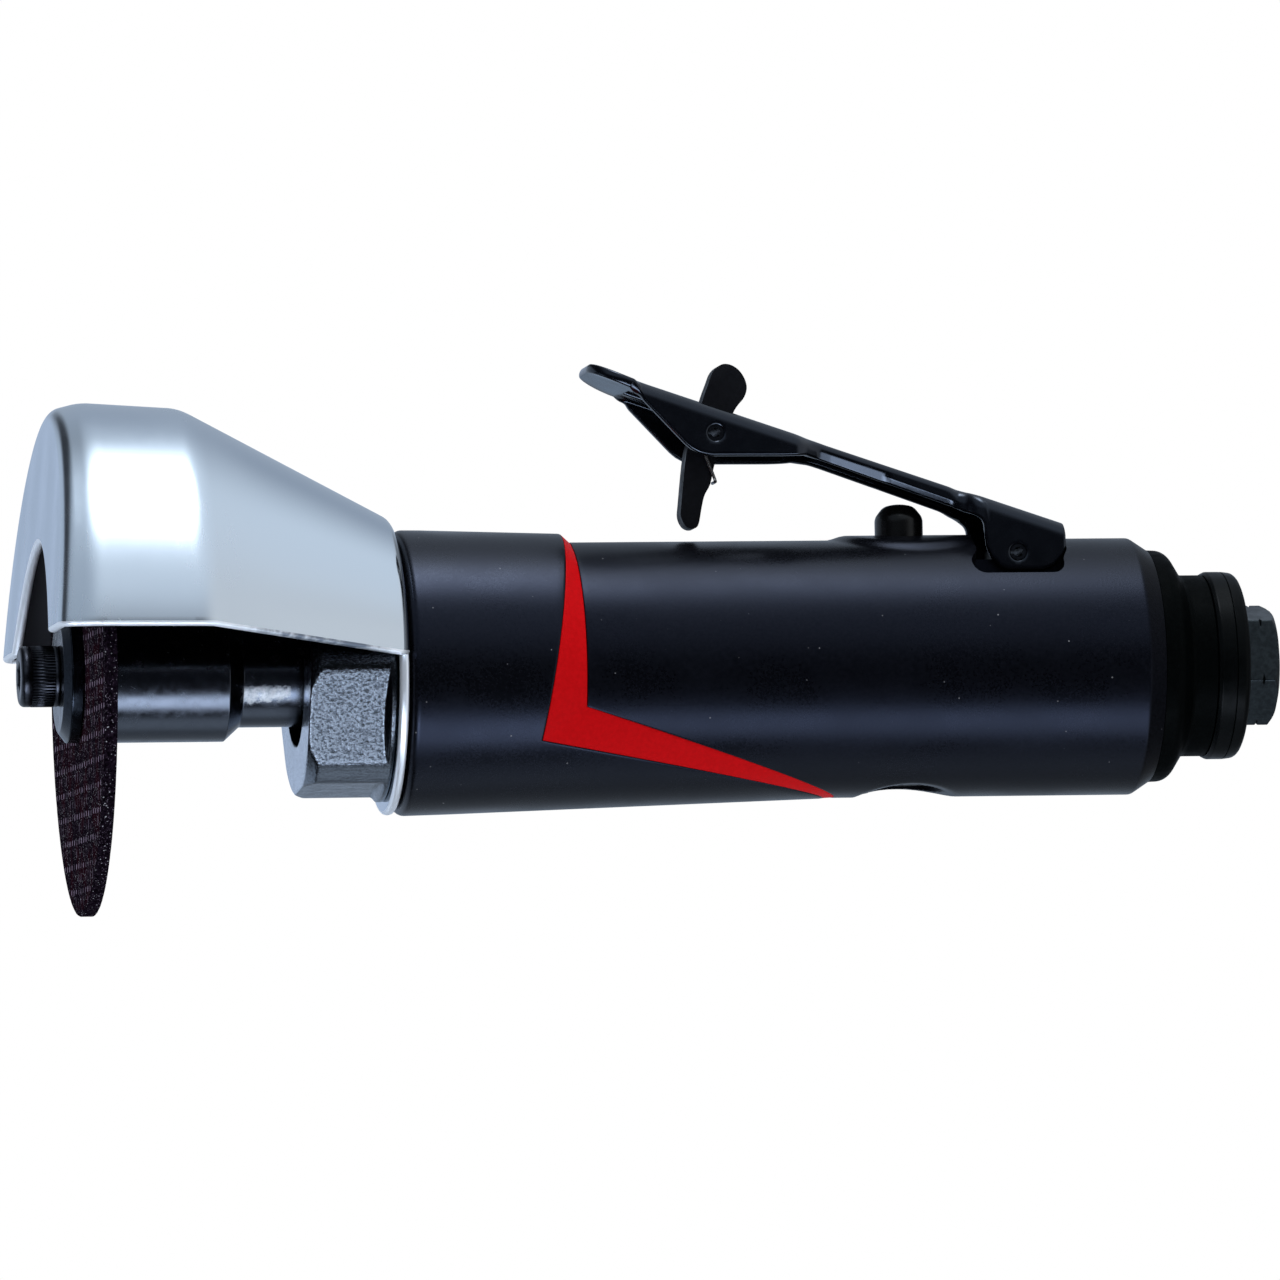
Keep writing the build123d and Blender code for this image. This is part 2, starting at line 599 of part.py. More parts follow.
lever_side = [(nose_x, lever_top(nose_x)), (tail_x, lever_top(tail_x))] + about(pivot, [
    (7.1, -0.3), (4.6, -2.4), (-2.0, -2.4), (-4.9, 1.4), (-4.9, 4.6), (-6.0, 5.8), (-8.5, 6.7), (-27.2, 13.8),
]) + about(pivot, [
    (-33.0, 16.0), (-36.0, 15.7), (-50.4, 15.8), (-59.8, 25.5), (-64.0, 27.6), (-67.9, 28.5),
], lever_unit)
plate_drop = lever_t * 1.056
with BuildPart() as throttle_lever:
    with BuildSketch(Plane.XZ):
        Polygon(*lever_side, align=None)
    extrude(amount=lever_half, both=True)
    long_edges = throttle_lever.edges().filter_by(
        lambda e: abs((e @ 0.5).X - (nose_x + tail_x) / 2) < 1 and abs((e @ 0.5).Y) > lever_half - 0.1
        and (e @ 0.5).Z > lever_top((nose_x + tail_x) / 2) - 0.2
    )
    fillet(long_edges, radius=2.2)
    with BuildSketch(Plane.XY) as plan:
        with Locations(((nose_x + tail_x) / 2, 0)):
            Rectangle(tail_x - nose_x, 2 * lever_half)
        fillet(plan.vertices().sort_by(Axis.X)[:2], radius=5.0)
    extrude(amount=4 * grip_r, mode=Mode.INTERSECT)
    with BuildSketch(Plane.XZ):
        Polygon(
            (nose_x - 1, lever_top(nose_x - 1) - plate_drop), (tail_x + 1, lever_top(tail_x + 1) - plate_drop),
            (tail_x + 1, 0), (nose_x - 1, 0), align=None,
        )
    extrude(amount=lever_half - lever_t, both=True, mode=Mode.SUBTRACT)
    with BuildSketch(Plane.XY.offset(0)) as waist:
        for side in (-1, 1):
            with Locations((pivot[0] - 19.9, side * lever_half)):
                SlotOverall(27.0, 2 * (lever_half - arm_half))
    extrude(amount=4 * grip_r, mode=Mode.SUBTRACT)
    with BuildSketch(Plane.XZ):
        Polygon(*about(pivot, [
            (-31.5, lever_top(pivot[0] - 31.5) - pivot[1] - 1.0),
            (-8.3, lever_top(pivot[0] - 8.3) - pivot[1] - 1.0), (-8.5, 6.7), (-27.2, 13.8), (-31.5, 15.4),
        ]), align=None)
    extrude(amount=arm_half, both=True)
    with BuildSketch(Plane.XZ):
        Polygon(*about(pivot, [
            (-33.5, lever_top(pivot[0] - 33.5) - pivot[1] - plate_drop),
            (-6.0, lever_top(pivot[0] - 6.0) - pivot[1] - plate_drop), (-6.0, 0), (-33.5, 0),
        ]), align=None)
    extrude(amount=arm_half - lever_t, both=True, mode=Mode.SUBTRACT)
    rib_top = lever_top(x_valve) - pivot[1] - plate_drop
    with BuildSketch(Plane.XZ):
        Polygon(*about(pivot, [
            (-21.5, rib_top + 1.9), (-20.3, rib_top - 1.0), (-17.5, rib_top - 2.0), (-13.5, rib_top - 3.0),
            (-10.6, rib_top - 2.0), (-10.4, rib_top - 1.9),
        ]), align=None)
    extrude(amount=2.2, both=True)
    with BuildSketch(Plane.XY):
        with Locations((catch_pivot[0] - 0.8, 0)):
            Rectangle(23.4, catch_t + 2 * play)
    extrude(amount=4 * grip_r, mode=Mode.SUBTRACT)
    with BuildSketch(Plane.XZ):
        with Locations(pivot):
            Circle(pin_r + fit)
        with Locations(catch_pivot):
            Circle(pin_r + 0.01)
    extrude(amount=2 * lever_half, both=True, mode=Mode.SUBTRACT)
save(throttle_lever.part, "throttle_lever")


def rolled_pin(centre, half):
    """Rolled sheet pin with its slit, across the tool."""
    with BuildSketch(Plane.XZ) as face:
        with Locations(centre):
            Circle(pin_r)
            Circle(pin_r - 0.5, mode=Mode.SUBTRACT)
        with Locations((centre[0] - pin_r, centre[1])):
            Rectangle(2 * pin_r, 0.4, mode=Mode.SUBTRACT)
    extrude(face.sketch, amount=half, both=True)


with BuildPart() as lever_pin:
    rolled_pin(pivot, lever_half)
save(lever_pin.part, "lever_pin")

with BuildPart() as catch_pin:
    rolled_pin(catch_pivot, lever_half - 0.2)
save(catch_pin.part, "catch_pin")

with BuildPart() as safety_catch:
    with BuildSketch(Plane.XZ):
        with BuildLine():
            Polyline(*about(catch_pivot, [
                (-1.16, 6.19), (0.17, 10.0), (0.9, 10.95), (2.51, 11.4), (3.6, 11.0), (6.24, 7.81),
                (6.3, 7.0), (5.68, 5.77), (3.9, 3.97), (2.5, 0.0), (1.03, -4.5), (0.39, -7.55),
                (-0.91, -9.83), (-1.9, -13.6), (-2.4, -14.0), (-3.1, -14.05), (-4.0, -13.6),
                (-4.82, -12.3), (-3.66, -3.04), (-2.8, 0.0),
            ], lever_unit), close=True)
        make_face()
        with Locations(catch_pivot):
            Circle(pin_r + fit, mode=Mode.SUBTRACT)
    extrude(amount=catch_t / 2, both=True)
save(safety_catch.part, "safety_catch")

wire_r = 0.25
coil_r = pin_r + 0.5
coil_y = -catch_t / 2 - wire_r - 0.1
coil_turns = 3.355
hook = (0.8 * lever_unit, -7.2 * lever_unit)
coil_plane = Plane(
    origin=(catch_pivot[0], coil_y, catch_pivot[1]), x_dir=(-0.946, 0, -0.324), z_dir=(0, -1, 0),
)


def wire(start, end):
    """Straight piece of spring wire between two points."""
    length = (Vector(*end) - Vector(*start)).length
    with BuildSketch(Plane(origin=start, z_dir=Vector(*end) - Vector(*start))) as face:
        Circle(wire_r)
    extrude(face.sketch, amount=length)


coil = coil_plane * Helix(pitch=0.56, height=0.56 * coil_turns, radius=coil_r, lefthand=True)
with BuildPart() as catch_spring:
    with BuildSketch(Plane(origin=coil @ 0, z_dir=coil % 0)):
        Circle(wire_r)
    sweep(path=coil)
    hook_at = (catch_pivot[0] + hook[0], coil_y, catch_pivot[1] + hook[1])
    wire(tuple(coil @ 0), hook_at)
    wire((hook_at[0], coil_y - wire_r, hook_at[2]), (hook_at[0], 1.0, hook_at[2]))
    tail = coil @ 1
    wire(tuple(tail), (tail.X + 6.6, tail.Y, tail.Z - 6.6 * slope))
save(catch_spring.part, "catch_spring")

# Throttle valve: plunger, seals, bush, spring and plug
head_z = seat_z - 1.6
head_t = 2.5
plug_top = -(housing_r - 5.85)
plug_low = -(housing_r + 0.2)
with BuildPart() as valve_plunger:
    upright(bush_z + 0.7, button_top - 2.04 - bush_z - 0.7, button_r)
    with BuildSketch(Plane.XZ):
        with BuildLine():
            dome = ThreePointArc(
                (x_valve + button_r, button_top - 2.04), (x_valve + 2.0, button_top - 0.48), (x_valve, button_top),
            )
            Polyline(dome @ 1, (x_valve, button_top - 2.04), dome @ 0)
        make_face()
    revolve(axis=Axis((x_valve, 0, 0), (0, 0, 1)))
    upright(head_z - 0.5, bush_z + 1.5 - head_z, 1.6)
    upright(head_z - head_t, head_t, chamber_r - 1.5)
save(valve_plunger.part, "valve_plunger")

with BuildPart() as valve_seal:
    with Locations((x_valve, 0, head_z + 0.77)):
        Torus(3.2, 0.75)
save(valve_seal.part, "valve_seal")

with BuildPart() as plunger_bush:
    upright(bush_z, housing_r - 0.8 - bush_z, bush_r)
    upright(bush_z, housing_r - 0.8 - bush_z, button_r + fit, Mode.SUBTRACT)
    upright(bush_z + 1.0, 1.2, button_r + 0.9, Mode.SUBTRACT)
save(plunger_bush.part, "plunger_bush")

with BuildPart() as plunger_seal:
    with Locations((x_valve, 0, bush_z + 1.6)):
        Torus(button_r + 0.48, 0.41)
save(plunger_seal.part, "plunger_seal")

spring_wire = 0.4
spring_low = plug_top + spring_wire + 0.02
spring_high = head_z - head_t - spring_wire - 0.02
spring_len = spring_high - spring_low
spring_path = Pos(x_valve, 0, spring_low) * Helix(pitch=spring_len / 6, height=spring_len, radius=2.6)
with BuildPart() as valve_spring:
    with BuildSketch(Plane(origin=spring_path @ 0, z_dir=spring_path % 0)):
        Circle(spring_wire)
    sweep(path=spring_path)
save(valve_spring.part, "valve_spring")

with BuildPart() as valve_plug:
    upright(plug_low, plug_top - plug_low, chamber_r - fit)
    with BuildSketch(Plane.XY.offset(plug_low + 3.0)):
        with Locations((x_valve, 0)):
            Circle(chamber_r + 1)
            Circle(chamber_r - 0.9, mode=Mode.SUBTRACT)
    extrude(amount=1.4, mode=Mode.SUBTRACT)
    with BuildSketch(Plane.XY.offset(plug_low)):
        with Locations((x_valve, 0)):
            Rectangle(1.3, 3 * chamber_r, rotation=25)
    extrude(amount=1.3, mode=Mode.SUBTRACT)
save(valve_plug.part, "valve_plug")

with BuildPart() as plug_seal:
    with Locations((x_valve, 0, plug_low + 3.7)):
        Torus(chamber_r - 0.46, 0.42)
save(plug_seal.part, "plug_seal")
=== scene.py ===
from math import acos, asin, atan2, cos, exp, log, pi, radians, sin, sqrt, tan

import bmesh
import bpy
from mathutils import Matrix, Vector, noise


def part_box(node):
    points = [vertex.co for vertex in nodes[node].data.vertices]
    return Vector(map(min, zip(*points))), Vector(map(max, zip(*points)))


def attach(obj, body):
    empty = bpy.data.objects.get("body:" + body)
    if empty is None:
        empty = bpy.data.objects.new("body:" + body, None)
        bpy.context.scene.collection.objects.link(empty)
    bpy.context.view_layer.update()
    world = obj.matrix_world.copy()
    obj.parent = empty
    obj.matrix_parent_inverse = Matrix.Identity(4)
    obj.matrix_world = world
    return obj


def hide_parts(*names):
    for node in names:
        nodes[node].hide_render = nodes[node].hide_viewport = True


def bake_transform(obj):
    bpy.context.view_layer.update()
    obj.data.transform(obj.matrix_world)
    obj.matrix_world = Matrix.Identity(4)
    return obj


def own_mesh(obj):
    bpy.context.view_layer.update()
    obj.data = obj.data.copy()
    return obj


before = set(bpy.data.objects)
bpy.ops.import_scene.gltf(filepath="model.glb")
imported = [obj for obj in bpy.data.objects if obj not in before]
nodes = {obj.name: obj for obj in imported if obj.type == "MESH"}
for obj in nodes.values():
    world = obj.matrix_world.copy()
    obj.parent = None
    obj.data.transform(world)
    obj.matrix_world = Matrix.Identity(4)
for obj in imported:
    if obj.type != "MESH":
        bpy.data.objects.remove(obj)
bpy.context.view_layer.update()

# Sizes of the tool, in millimetres, in the frame of the CAD model
MM = 0.001
GRIP_R = 20.25
GRIP_FRONT_R = 22.4
SLEEVE_BORE_R = 18.1
X_FRONT = -140.2
X_VALVE = -59.0
X_CAP = -20.1
X_RING = -5.7
X_RING_FRONT = -10.9
RING_R = 14.8
HUB_R = 10.6
X_GUARD = -195.95
X_GUARD_REAR = -140.25
X_GUARD_RING = -141.75
GUARD_R = 42.6
GUARD_RING_R = 22.2
GUARD_HOLE_R = 16.85
GUARD_T = 1.5
BARREL_END = -172.55
HOOD_EDGE = 5.0
HOOD_EDGE_REAR = 1.3
HOOD_LEAN = 0.086
ARCH_HALF = 25.56
ARCH_TOP = 20.8
X_NUT = -155.35
X_NUT_REAR = -141.8
X_FRONT_PLATE = -133.0
NUT_R = 20.15
NUT_FLAT = 18.5
NUT_BORE_R = 11.3
NUT_SEAT_R = 16.5
X_DISC = -189.45
X_DISC_REAR = -187.45
DISC_R = 37.5
X_FLANGE = -192.55
ARBOR_R = 10.45
NECK_R = 8.25
X_NECK = -164.35
X_NECK_END = -132.5
X_SHAFT_SEAT = -153.0
X_SCREW = -198.65
SCREW_R = 4.75
SHANK_R = 2.95
HEX_FLAT = 8.5
X_HEX_REAR = -5.6
BUSHING_R = 7.4
BUSHING_BORE_R = 4.2
X_BUSHING_END = -37.6
PIVOT = (-41.5, 17.6)
CATCH_PIVOT = (-89.23, 36.73)
LEVER_HALF = 8.5
LEVER_T = 1.5
PIN_R = 1.25
CATCH_T = 4.0
BUTTON_R = 3.8
BUTTON_TOP = 25.84

# Shares of a side that the arc at its one end, or each arc at its two ends, may take
LONE_ARC = 0.97
PAIRED_ARC = 0.48


# Numbers and lines
def spread(start, end, count):
    return [start + (end - start) * k / (count - 1) for k in range(count)]


def mix(a, b, t):
    return a + (b - a) * t


def eased(value, low, high):
    t = max(0.0, min(1.0, (value - low) / (high - low)))
    return t * t * (3 - 2 * t)


def soft_min(blend, *values):
    low = min(values)
    return low - blend * log(sum(exp((low - v) / blend) for v in values))


def soft_max(blend, *values):
    return -soft_min(blend, *[-v for v in values])


def along(points, x):
    """Height of a broken line at station x."""
    for (x0, z0), (x1, z1) in zip(points, points[1:]):
        if x0 <= x <= x1:
            return mix(z0, z1, (x - x0) / (x1 - x0))
    return points[0][1] if x < points[0][0] else points[-1][1]


def circle(centre, radius, sides):
    turns = [2 * pi * k / sides for k in range(sides)]
    return [(centre[0] + radius * cos(t), centre[1] + radius * sin(t)) for t in turns]


def rounded(corners, closed=False, steps=5):
    """Profile whose corners (station, radius, rounding) become short arcs with a support point each side."""
    out = []
    count = len(corners)
    for i, (x, r, rounding) in enumerate(corners):
        at = Vector((x, r))
        if not rounding or (not closed and i in (0, count - 1)):
            out.append(at)
            continue
        before = Vector(corners[i - 1][:2]) - at
        after = Vector(corners[(i + 1) % count][:2]) - at
        room_before = before.length * (LONE_ARC if not closed and i == 1 else PAIRED_ARC)
        room_after = after.length * (LONE_ARC if not closed and i == count - 2 else PAIRED_ARC)
        before.normalize()
        after.normalize()
        half = acos(max(-1.0, min(1.0, before.dot(after)))) / 2
        reach = min(rounding / tan(half), room_before, room_after)
        centre = at + (before + after).normalized() * (reach * tan(half) / sin(half))
        start = at + before * reach - centre
        end = at + after * reach - centre
        sweep = pi - 2 * half
        if start.x * end.y < start.y * end.x:
            sweep = -sweep
        support = reach + min(0.35 * reach, 0.3)
        if support < 0.98 * room_before:
            out.append(at + before * support)
        for k in range(steps + 1):
            out.append(centre + Matrix.Rotation(sweep * k / steps, 2) @ start)
        if support < 0.98 * room_after:
            out.append(at + after * support)
    return [(p.x, p.y) for p in out]


def fine_line(line, gap):
    """Line with points added so that none lie further apart than the gap."""
    out = [line[0]]
    for a, b in zip(line, line[1:]):
        steps = max(1, int(sqrt((b[0] - a[0]) ** 2 + (b[1] - a[1]) ** 2) / gap))
        out += [(mix(a[0], b[0], k / steps), mix(a[1], b[1], k / steps)) for k in range(1, steps + 1)]
    return out


def on_axis(station, radius, turn):
    return (station, -radius * cos(turn), radius * sin(turn))


def on_valve(station, radius, turn):
    return (X_VALVE + radius * cos(turn), radius * sin(turn), station)


# Meshes and pieces
def placed(name, data):
    """New object at the origin, in the scene."""
    thing = bpy.data.objects.new(name, data)
    bpy.context.scene.collection.objects.link(thing)
    return thing


def opened(piece):
    """Mesh of a piece, open for work."""
    work = bmesh.new()
    work.from_mesh(piece.data)
    return work


def closed_up(work, piece):
    """Turns every face outwards and gives the mesh back to its piece."""
    bmesh.ops.recalc_face_normals(work, faces=work.faces)
    work.to_mesh(piece.data)
    work.free()
    piece.data.update()


def piece_from(name, points, faces):
    """New smooth piece from points in millimetres, with its faces turned outwards."""
    mesh = bpy.data.meshes.new(name)
    mesh.from_pydata([Vector(p) * MM for p in points], [], faces)
    mesh.validate()
    mesh.shade_smooth()
    piece = placed(name, mesh)
    closed_up(opened(piece), piece)
    return piece


def ring_faces(rows, columns, closed_rows=False):
    faces = []
    for i in range(rows if closed_rows else rows - 1):
        a = i * columns
        b = ((i + 1) % rows) * columns
        faces += [(a + k, b + k, b + (k + 1) % columns, a + (k + 1) % columns) for k in range(columns)]
    return faces


def ringed(name, rows, columns, closed=True):
    """Piece from rows (station, radius) round the axis; a radius may change with the turn."""
    points = []
    for x, radius in rows:
        for k in range(columns):
            turn = 2 * pi * k / columns
            points.append(on_axis(x, radius(turn) if callable(radius) else radius, turn))
    faces = ring_faces(len(rows), columns, closed)
    if not closed:
        faces += [tuple(range(i * columns, (i + 1) * columns)) for i in (0, len(rows) - 1)]
    return piece_from(name, points, faces)


def turned(name, corners, closed=False, turns=144, steps=5, place=on_axis):
    """Turned piece; an open profile starts and ends on the axis."""
    points = []
    rings = []
    faces = []
    for station, radius in rounded(corners, closed, steps):
        on_middle = radius < 1e-6
        ring = [0.0] if on_middle else [2 * pi * k / turns for k in range(turns)]
        rings.append(list(range(len(points), len(points) + len(ring))))
        points += [place(station, 0 if on_middle else radius, turn) for turn in ring]
    pairs = list(zip(rings, rings[1:]))
    if closed:
        pairs.append((rings[-1], rings[0]))
    for a, b in pairs:
        for k in range(turns):
            n = (k + 1) % turns
            if len(a) == 1:
                faces.append((a[0], b[k], b[n]))
            elif len(b) == 1:
                faces.append((a[k], b[0], a[n]))
            else:
                faces.append((a[k], b[k], b[n], a[n]))
    return piece_from(name, points, faces)


def settle(piece):
    """Turns a piece with modifiers into a plain mesh."""
    depsgraph = bpy.context.evaluated_depsgraph_get()
    depsgraph.update()
    solid = bpy.data.meshes.new_from_object(piece.evaluated_get(depsgraph))
    piece.modifiers.clear()
    piece.data = solid
    return piece


def even_shading(piece):
    mod = piece.modifiers.new("shading", "WEIGHTED_NORMAL")
    mod.weight = 60
    mod.keep_sharp = True


def loop_edges(work, corners):
    return [work.edges.new(pair) for pair in zip(corners, corners[1:] + corners[:1])]


def drop_loose(work):
    bmesh.ops.delete(work, geom=[v for v in work.verts if not v.link_faces], context="VERTS")


def finish_sheet(name, skin, wall, roll, segments=8):
    """Sheet-metal piece from its outer skin: adds the wall inwards and a rolled rim along every free edge."""
    bmesh.ops.dissolve_degenerate(skin, edges=skin.edges, dist=1e-4)
    bmesh.ops.recalc_face_normals(skin, faces=skin.faces)
    top = max(skin.faces, key=lambda face: face.calc_center_median().z)
    if top.normal.z < 0:
        bmesh.ops.reverse_faces(skin, faces=skin.faces)
    skin.normal_update()
    skin.verts.index_update()
    count = len(skin.verts)
    outer = [v.co.copy() for v in skin.verts]
    inner = [v.co - v.normal * wall for v in skin.verts]
    solid = outer + inner
    shell = [tuple(v.index for v in face.verts) for face in skin.faces]
    lining = [tuple(count + i for i in reversed(face)) for face in shell]
    rim_columns = {}
    rim_faces = []
    for v in skin.verts:
        free = [e for e in v.link_edges if e.is_boundary]
        if not free:
            continue
        away = Vector()
        for edge in free:
            line = (edge.verts[1].co - edge.verts[0].co).normalized()
            step = (edge.verts[0].co + edge.verts[1].co) / 2 - edge.link_faces[0].calc_center_median()
            step -= line * step.dot(line)
            step -= v.normal * step.dot(v.normal)
            away += step.normalized()
        away.normalize()
        column = [v.index]
        middle = (outer[v.index] + inner[v.index]) / 2
        for k in range(1, segments):
            turn = pi * k / segments
            column.append(len(solid))
            solid.append(middle + v.normal * (wall / 2 * cos(turn)) + away * (roll * sin(turn) ** 0.8))
        rim_columns[v.index] = column + [count + v.index]
    for edge in skin.edges:
        if edge.is_boundary:
            a, b = (rim_columns[v.index] for v in edge.verts)
            rim_faces += [(a[k], b[k], b[k + 1], a[k + 1]) for k in range(segments)]
    skin.free()
    piece = piece_from(name, solid, shell + lining + rim_faces)
    even_shading(piece)
    settle(piece)
    return piece, range(len(shell), 2 * len(shell))


def cut_hole(piece, inside, snap, push, depth=2.0, lip=0.15):
    """Opens a hole in a skin: drops the faces inside a line, snaps the edge to it and turns it inwards."""
    work = opened(piece)
    gone = [f for f in work.faces if inside(f.calc_center_median() / MM)]
    rim_before = {e for e in work.edges if e.is_boundary}
    bmesh.ops.delete(work, geom=gone, context="FACES")
    edge = [e for e in work.edges if e.is_boundary and e not in rim_before]
    for v in {v for e in edge for v in e.verts}:
        v.co = Vector(snap(v.co / MM)) * MM
    for step in (lip, depth):
        made = bmesh.ops.extrude_edge_only(work, edges=edge)["geom"]
        edge = [g for g in made if isinstance(g, bmesh.types.BMEdge)]
        for v in [g for g in made if isinstance(g, bmesh.types.BMVert)]:
            v.co += (Vector(push(v.co / MM)) * step) * MM
    for f in work.faces:
        f.smooth = True
    closed_up(work, piece)


def joined(name, *parts):
    """One object from several, as separate shells."""
    work = bmesh.new()
    for part in parts:
        work.from_mesh(part.data)
    mesh = bpy.data.meshes.new(name)
    work.to_mesh(mesh)
    work.free()
    mesh.shade_smooth()
    for part in parts:
        bpy.data.objects.remove(part)
    return placed(name, mesh)


def coat(piece, material):
    piece.data.materials.clear()
    piece.data.materials.append(material)
    for polygon in piece.data.polygons:
        polygon.material_index = 0


def dress(piece, material, body, node):
    """Gives a piece its finish, parents it to the body it rides on and hides the CAD node it stands in for.
    """
    coat(piece, material)
    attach(piece, body)
    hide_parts(node)


# Node trees
class Nodes:
    """Short ways of adding nodes to a node tree."""

    def __init__(self, tree):
        self.tree = tree

    def add(self, kind, **settings):
        n = self.tree.nodes.new(kind)
        for name, value in settings.items():
            setattr(n, name, value)
        return n

    def link(self, source, target):
        """Joins a socket to an input, or gives the input a plain value."""
        if hasattr(source, "is_output"):
            self.tree.links.new(source, target)
        else:
            target.default_value = source

    def fed(self, kind, inputs):
        """New node with its named inputs joined or set."""
        n = self.add(kind)
        for name, source in inputs.items():
            self.link(source, n.inputs[name])
        return n

    def math(self, operation, *sources):
        n = self.add("ShaderNodeMath", operation=operation)
        for source, socket in zip(sources, n.inputs):
            self.link(source, socket)
        return n.outputs[0]

    def product(self, first, *others):
        for other in others:
            first = self.math("MULTIPLY", first, other)
        return first

    def ranged(self, source, low, high, to_low=0.0, to_high=1.0):
        n = self.add("ShaderNodeMapRange", interpolation_type="SMOOTHSTEP")
        names = ("Value", "From Min", "From Max", "To Min", "To Max")
        for name, value in zip(names, (source, low, high, to_low, to_high)):
            self.link(value, n.inputs[name])
        return n.outputs["Result"]

    def over(self, source, low, high, to_low=0.0, to_high=1.0):
        """Soft step between two places given in millimetres."""
        return self.ranged(source, low * MM, high * MM, to_low, to_high)

    def blend(self, amount, a, b):
        n = self.add("ShaderNodeMix", data_type="RGBA")
        self.link(amount, n.inputs["Factor"])
        for socket, colour in zip([s for s in n.inputs if s.type == "RGBA"], (a, b)):
            self.link((*colour, 1.0) if isinstance(colour, tuple) else colour, socket)
        return [s for s in n.outputs if s.type == "RGBA"][0]

    def either(self, amount, a, b):
        """Shader a, giving way to shader b by the amount."""
        n = self.add("ShaderNodeMixShader")
        for source, socket in zip((amount, a, b), n.inputs):
            self.link(source, socket)
        return n.outputs[0]

    def axes(self, source):
        return self.fed("ShaderNodeSeparateXYZ", {"Vector": source}).outputs

    def ray(self, kind):
        return self.add("ShaderNodeLightPath").outputs[kind]


class Finish(Nodes):
    """One material, with the few nodes its finish needs, on Object coordinates."""

    def __init__(self, name, colour, roughness, metallic=0.0, specular=0.5):
        self.material = bpy.data.materials.new(name)
        self.material.use_nodes = True
        super().__init__(self.material.node_tree)
        self.shader = self.tree.nodes["Principled BSDF"]
        self.wear("Base Color", (*colour, 1.0))
        self.wear("Roughness", roughness)
        self.wear("Metallic", metallic)
        self.wear("Specular IOR Level", specular)
        self.place = self.add("ShaderNodeTexCoord").outputs["Object"]

    def wear(self, socket, source):
        self.link(source, self.shader.inputs[socket])

    def mark(self, name):
        """Value painted on the mesh itself."""
        return self.add("ShaderNodeAttribute", attribute_name=name).outputs["Fac"]

    def stretched(self, *scale):
        return self.fed("ShaderNodeMapping", {"Vector": self.place, "Scale": scale}).outputs[0]

    def noise(self, per_mm, detail=4.0, rough=0.55, place=None):
        return self.fed("ShaderNodeTexNoise", {
            "Vector": place or self.place, "Scale": per_mm / MM, "Detail": detail, "Roughness": rough,
        }).outputs["Fac"]

    def cells(self, per_mm):
        n = self.fed("ShaderNodeTexVoronoi", {"Vector": self.place, "Scale": per_mm / MM})
        return n.outputs["Distance"]

    def bump(self, height, strength, depth_mm, under=None):
        n = self.fed("ShaderNodeBump", {"Height": height, "Strength": strength, "Distance": depth_mm * MM})
        if under:
            self.link(under, n.inputs["Normal"])
        return n.outputs["Normal"]


class Grower(Nodes):
    """Geometry node tree with named sizes; it ends in realized geometry that carries its finish."""

    def __init__(self, name, on_mesh, **sizes):
        super().__init__(bpy.data.node_groups.new(name, "GeometryNodeTree"))
        if on_mesh:
            self.add_socket("Start", "INPUT", "Geometry")
        for label, value in sizes.items():
            kind = "Int" if isinstance(value, int) else "Float"
            self.add_socket(label, "INPUT", kind).default_value = value
        self.add_socket("Finish", "INPUT", "Material")
        self.add_socket("Made", "OUTPUT", "Geometry")
        self.given = self.add("NodeGroupInput").outputs

    def add_socket(self, label, way, kind):
        return self.tree.interface.new_socket(label, in_out=way, socket_type="NodeSocket" + kind)

    def round_axis(self, count, radius, sides, item_radius, item_length):
        """Rods set round a circle and laid along the tool's axis at the tree's station."""
        rod = self.fed("GeometryNodeMeshCylinder", {
            "Vertices": sides, "Radius": self.given[item_radius], "Depth": self.given[item_length],
        })
        sizes = {"Vertices": self.given[count], "Radius": self.given[radius]}
        ring = self.fed("GeometryNodeMeshCircle", sizes)
        copies = self.fed("GeometryNodeInstanceOnPoints", {
            "Points": ring.outputs["Mesh"], "Instance": rod.outputs["Mesh"],
        })
        shift = self.fed("ShaderNodeCombineXYZ", {"X": self.given["Station"]})
        laid = self.fed("GeometryNodeTransform", {
            "Geometry": copies.outputs["Instances"], "Translation": shift.outputs["Vector"],
            "Rotation": (0.0, pi / 2, 0.0),
        })
        return laid.outputs["Geometry"]

    def end(self, geometry):
        whole = self.fed("GeometryNodeRealizeInstances", {"Geometry": geometry})
        coated = self.fed("GeometryNodeSetMaterial", {
            "Geometry": whole.outputs["Geometry"], "Material": self.given["Finish"],
        })
        self.link(coated.outputs["Geometry"], self.add("NodeGroupOutput").inputs["Made"])
        return self.tree


def grow(piece, tree, **values):
    """Runs a node tree on a piece with the given sizes and keeps the result as a plain mesh."""
    mod = piece.modifiers.new("grow", "NODES")
    mod.node_group = tree
    for socket in tree.interface.items_tree:
        if socket.name in values:
            mod[socket.identifier] = values[socket.name]
    return settle(piece)


# Finishes
CHROME = (0.60, 0.655, 0.71)
OXIDE = (0.088, 0.097, 0.116)
PAINT = (0.0010, 0.0012, 0.0022)
BLUE_SHEEN = (0.57, 0.66, 1.0, 1.0)
PAINT_SHEEN = (0.74, 0.83, 1.0, 1.0)


